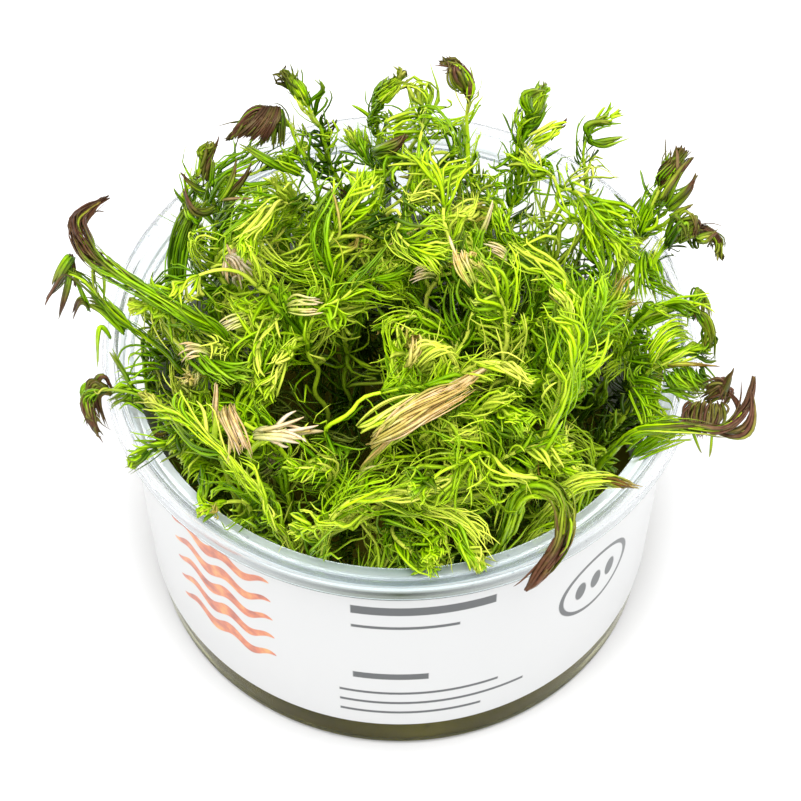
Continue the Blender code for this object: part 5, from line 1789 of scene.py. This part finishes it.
hazy_plastic = plain_material("hazy_plastic", (0.95, 0.97, 0.98, 1.0), 0.14)
tree = hazy_plastic.node_tree
shader = tree.nodes["Principled BSDF"]
shader.inputs["Transmission Weight"].default_value = 0.86
shader.inputs["IOR"].default_value = 1.2
place = tree.nodes.new("ShaderNodeTexCoord").outputs["Object"]
spread = add_node(tree, "ShaderNodeSeparateXYZ", Vector=place)
across, back, up = spread.outputs[0], spread.outputs[1], spread.outputs[2]
square = maths(tree, "ADD", maths(tree, "POWER", across, 2.0), maths(tree, "POWER", back, 2.0))
from_axis = maths(tree, "SQRT", square)
band_low, band_wide = RIM_SHADE_GLINT_BANDS[0][0], RIM_SHADE_GLINT_BANDS[-1][0] - RIM_SHADE_GLINT_BANDS[0][0]
ring_share = maths(tree, "DIVIDE", maths(tree, "SUBTRACT", from_axis, band_low * MM), band_wide * MM)
side_shade_glints = bands_ramp(tree, ring_share, RIM_SHADE_GLINT_BANDS, band_low, band_wide)
front_shade_glints = bands_ramp(tree, ring_share, FRONT_SHADE_GLINT_BANDS, band_low, band_wide)
# Share of the front rings of painted shade: full at the front middle, fading to the sides and back.
from_middle = maths(tree, "MULTIPLY", maths(tree, "ABSOLUTE", across), -1 / (FRONT_HALF_WIDTH * MM))
near_middle = maths(tree, "MAXIMUM", maths(tree, "ADD", from_middle, 1.0), 0.0)
in_front = maths(tree, "MULTIPLY", back, -1 / (FRONT_DEPTH * MM))
in_front = maths(tree, "MINIMUM", maths(tree, "MAXIMUM", in_front, 0.0), 1.0)
front_shade_share = maths(tree, "MULTIPLY", near_middle, in_front)
ring_shade_glints = blend(tree, front_shade_share, side_shade_glints, front_shade_glints)
# Painted highlights and painted shade on the outer skirt, stronger at the front.
skirt_place = maths(tree, "DIVIDE", maths(tree, "SUBTRACT", up, SKIRT_BOTTOM * MM), SKIRT_SPAN * MM)
skirt_shade_glints = bands_ramp(tree, skirt_place, SKIRT_SHADE_GLINT_BANDS, SKIRT_BOTTOM, SKIRT_SPAN)
on_skirt = maths(tree, "GREATER_THAN", from_axis, SKIRT_RADIUS * MM)
skirt_shade_share = maths(tree, "MULTIPLY", on_skirt, maths(tree, "MULTIPLY_ADD", front_shade_share, 0.85, 0.15))
skirt_shade_glint_mix = blend(tree, skirt_shade_share, WHITE, skirt_shade_glints)
painted_shade_glints = blend(tree, 1.0, ring_shade_glints, skirt_shade_glint_mix, "MULTIPLY")
streaks = add_node(
    tree, "ShaderNodeTexNoise", noise_dimensions="1D", W=from_axis, Scale=2600.0, Detail=2.0
)
clouds = object_noise(tree, 70.0, 3.0)
streaky = maths(tree, "MULTIPLY", streaks.outputs[0], 0.6)
mixed = maths(tree, "ADD", streaky, maths(tree, "MULTIPLY", clouds, 0.4))
streak_colour = ramp(tree, mixed, *STREAK_COLOURS)
streaks_and_shade_glints = blend(tree, 1.0, painted_shade_glints, streak_colour, "MULTIPLY")
specks = add_node(tree, "ShaderNodeTexVoronoi", Vector=place, Scale=420.0)
speck_mask = maths(tree, "LESS_THAN", specks.outputs["Distance"], 0.11)
rare = maths(tree, "GREATER_THAN", object_noise(tree, 150.0), 0.57)
speck_share = maths(tree, "MULTIPLY", maths(tree, "MULTIPLY", speck_mask, rare), 0.6)
speckled = blend(tree, speck_share, streaks_and_shade_glints, (0.42, 0.46, 0.48))
tree.links.new(speckled, shader.inputs["Base Color"])
haze_bump = add_node(tree, "ShaderNodeBump", Height=clouds, Strength=0.02, Distance=0.0004)
tree.links.new(haze_bump.outputs[0], shader.inputs["Normal"])
frosted_step = hazy_plastic.copy()
frosted_step.name = "frosted_step"
frosted_step.node_tree.nodes["Principled BSDF"].inputs["Transmission Weight"].default_value = 0.55
cup.data.materials.clear()
for material in (clear_plastic, hazy_plastic, milky_wall, painted_glow_wall, frosted_step):
    cup.data.materials.append(material)
for face in cup.data.polygons:
    height = face.center.z / MM
    radius = math.hypot(face.center.x, face.center.y) / MM
    inside = radius < wall_radius(height) - 0.5 * WALL
    at_seam = face.center.y > 0 and abs(face.center.x) < 2 * SEAM_WIDTH * MM
    backed = inside and CLEAR_BAND < height < RIM_BOTTOM and not at_seam
    # Backed faces above GLOW_BOTTOM get the glowing wall, which is painted light.
    face.material_index = 2 + int(height > GLOW_BOTTOM) if backed else int(height > CLEAR_BAND)
    if height > STEP_HEIGHT - 2 * WALL and radius < FROST_RADIUS:
        face.material_index = 4
print("rim faces:", sum(face.material_index == 1 for face in cup.data.polygons))

# %% Gel
GEL_DARK, GEL_OLIVE, GEL_LIGHT = (0.06, 0.053, 0.004), (0.1, 0.092, 0.009), (0.18, 0.17, 0.022)
gel_finish = plain_material("olive_gel", (*GEL_OLIVE, 1.0), 0.3)
tree = gel_finish.node_tree
shader = tree.nodes["Principled BSDF"]
shader.inputs["Specular IOR Level"].default_value = 0.0
cloud = object_noise(tree, 45.0, 4.0)
gel_colour = ramp(tree, cloud, (0.25, GEL_DARK), (0.52, GEL_OLIVE), (0.8, GEL_LIGHT))
place = tree.nodes.new("ShaderNodeTexCoord").outputs["Object"]
crumbs = add_node(tree, "ShaderNodeTexVoronoi", Vector=place, Scale=260.0)
crumb_mask = maths(tree, "MULTIPLY", maths(tree, "LESS_THAN", crumbs.outputs["Distance"], 0.16), 0.6)
tree.links.new(blend(tree, crumb_mask, gel_colour, GEL_DARK), shader.inputs["Base Color"])
gel_grain = object_noise(tree, 220.0)
gel_bump = add_node(tree, "ShaderNodeBump", Height=gel_grain, Strength=0.3, Distance=0.0004)
tree.links.new(gel_bump.outputs[0], shader.inputs["Normal"])
gel.data.materials.clear()
gel.data.materials.append(gel_finish)

# %% Print on the label
INK = (0.03, 0.036, 0.04)
FILM_WHITE = (0.65, 0.655, 0.655)
RING_PLACE, RING_RADIUS = (37.0, 27.0), 8.5
BARS = [
    (4.0, 40.0, 12.0, 1.3),
    (1.0, 34.5, 9.0, 0.45),
    (-1.5, 17.5, 6.5, 1.0),
    (3.5, 11.5, 14.0, 0.4),
    (6.0, 8.0, 16.5, 0.4),
    (2.0, 4.5, 12.5, 0.4),
]
DOT_OFFSETS, DOT_HALF_WIDTH, DOT_HALF_HEIGHT = (-3.6, 0.0, 3.6), 1.2, 2.6
WAVES_PLACE, WAVES_HALF_WIDTH, WAVES, WAVE_SPACING = (-33.0, 15.0), 11.0, 5, 6.2
CORALS = [(0.3, (0.36, 0.05, 0.02)), (0.5, (0.66, 0.15, 0.04)), (0.68, (0.80, 0.36, 0.07))]


def printed_oval(tree, u, v, centre, half_width, half_height):
    """Depth inside an oval, in millimetres near its edge."""
    du = maths(tree, "MULTIPLY", maths(tree, "SUBTRACT", u, centre[0]), 1 / half_width)
    dv = maths(tree, "MULTIPLY", maths(tree, "SUBTRACT", v, centre[1]), 1 / half_height)
    square = maths(tree, "ADD", maths(tree, "POWER", du, 2.0), maths(tree, "POWER", dv, 2.0))
    inwards = maths(tree, "SUBTRACT", 1.0, maths(tree, "SQRT", square))
    return maths(tree, "MULTIPLY", inwards, half_width)


def edge_mask(tree, depth):
    """Turns a depth in millimetres inside a printed shape into a clean-edged mask."""
    scaled = maths(tree, "MULTIPLY_ADD", depth, 5.0, 0.5)
    return maths(tree, "MINIMUM", maths(tree, "MAXIMUM", scaled, 0.0), 1.0)


label_finish = plain_material("label_film", (*FILM_WHITE, 1.0), 0.3)
tree = label_finish.node_tree
shader = tree.nodes["Principled BSDF"]
place = add_node(tree, "ShaderNodeUVMap", uv_map="print_map")
spread = add_node(tree, "ShaderNodeSeparateXYZ", Vector=place.outputs[0])
u, v = spread.outputs[0], spread.outputs[1]

in_ring = printed_oval(tree, u, v, RING_PLACE, RING_RADIUS, RING_RADIUS)
ink_depth = maths(tree, "SUBTRACT", 0.5, maths(tree, "ABSOLUTE", maths(tree, "SUBTRACT", in_ring, 0.6)))
for offset in DOT_OFFSETS:
    dot_place = (RING_PLACE[0] + offset, RING_PLACE[1])
    dot = printed_oval(tree, u, v, dot_place, DOT_HALF_WIDTH, DOT_HALF_HEIGHT)
    ink_depth = maths(tree, "MAXIMUM", ink_depth, dot)
for x, y, half_length, half_height in BARS:
    du = maths(tree, "SUBTRACT", half_length, maths(tree, "ABSOLUTE", maths(tree, "SUBTRACT", u, x)))
    dv = maths(tree, "SUBTRACT", half_height, maths(tree, "ABSOLUTE", maths(tree, "SUBTRACT", v, y)))
    ink_depth = maths(tree, "MAXIMUM", ink_depth, maths(tree, "MINIMUM", du, dv))
ink = edge_mask(tree, ink_depth)

swing = maths(tree, "MULTIPLY", maths(tree, "SINE", maths(tree, "MULTIPLY", u, 0.75)), 1.1)
middle_distance = maths(tree, "ABSOLUTE", maths(tree, "SUBTRACT", u, WAVES_PLACE[0]))
side_room = maths(tree, "SUBTRACT", WAVES_HALF_WIDTH, middle_distance)
thickness = maths(tree, "MULTIPLY", maths(tree, "SQRT", maths(tree, "MAXIMUM", side_room, 0.0)), 0.58)
wave_depth = None
for number in range(WAVES):
    height = WAVES_PLACE[1] + WAVE_SPACING * number
    off = maths(tree, "ABSOLUTE", maths(tree, "SUBTRACT", maths(tree, "SUBTRACT", v, height), swing))
    depth = maths(tree, "SUBTRACT", thickness, off)
    wave_depth = depth if wave_depth is None else maths(tree, "MAXIMUM", wave_depth, depth)
wave = edge_mask(tree, maths(tree, "MINIMUM", wave_depth, side_room))
wash = add_node(tree, "ShaderNodeTexNoise", Vector=place.outputs[0], Scale=0.35, Detail=5.0)
wave_colour = ramp(tree, wash.outputs[0], *CORALS)
tinted = blend(tree, maths(tree, "MULTIPLY", wave, 0.95), FILM_WHITE, wave_colour)
printed = blend(tree, maths(tree, "MULTIPLY", ink, 0.96), tinted, INK)
tree.links.new(printed, shader.inputs["Base Color"])
crinkle = object_noise(tree, 26.0, 3.0, (1.0, 1.0, 0.4))
film_bump = add_node(tree, "ShaderNodeBump", Height=crinkle, Strength=0.12, Distance=0.0008)
tree.links.new(film_bump.outputs[0], shader.inputs["Normal"])
label.data.materials.clear()
label.data.materials.append(label_finish)
print("print shapes on the label:", 1 + len(DOT_OFFSETS) + len(BARS) + WAVES)

# %% Size of the frame
print("frame box", tuple(cad_low), tuple(cad_high))
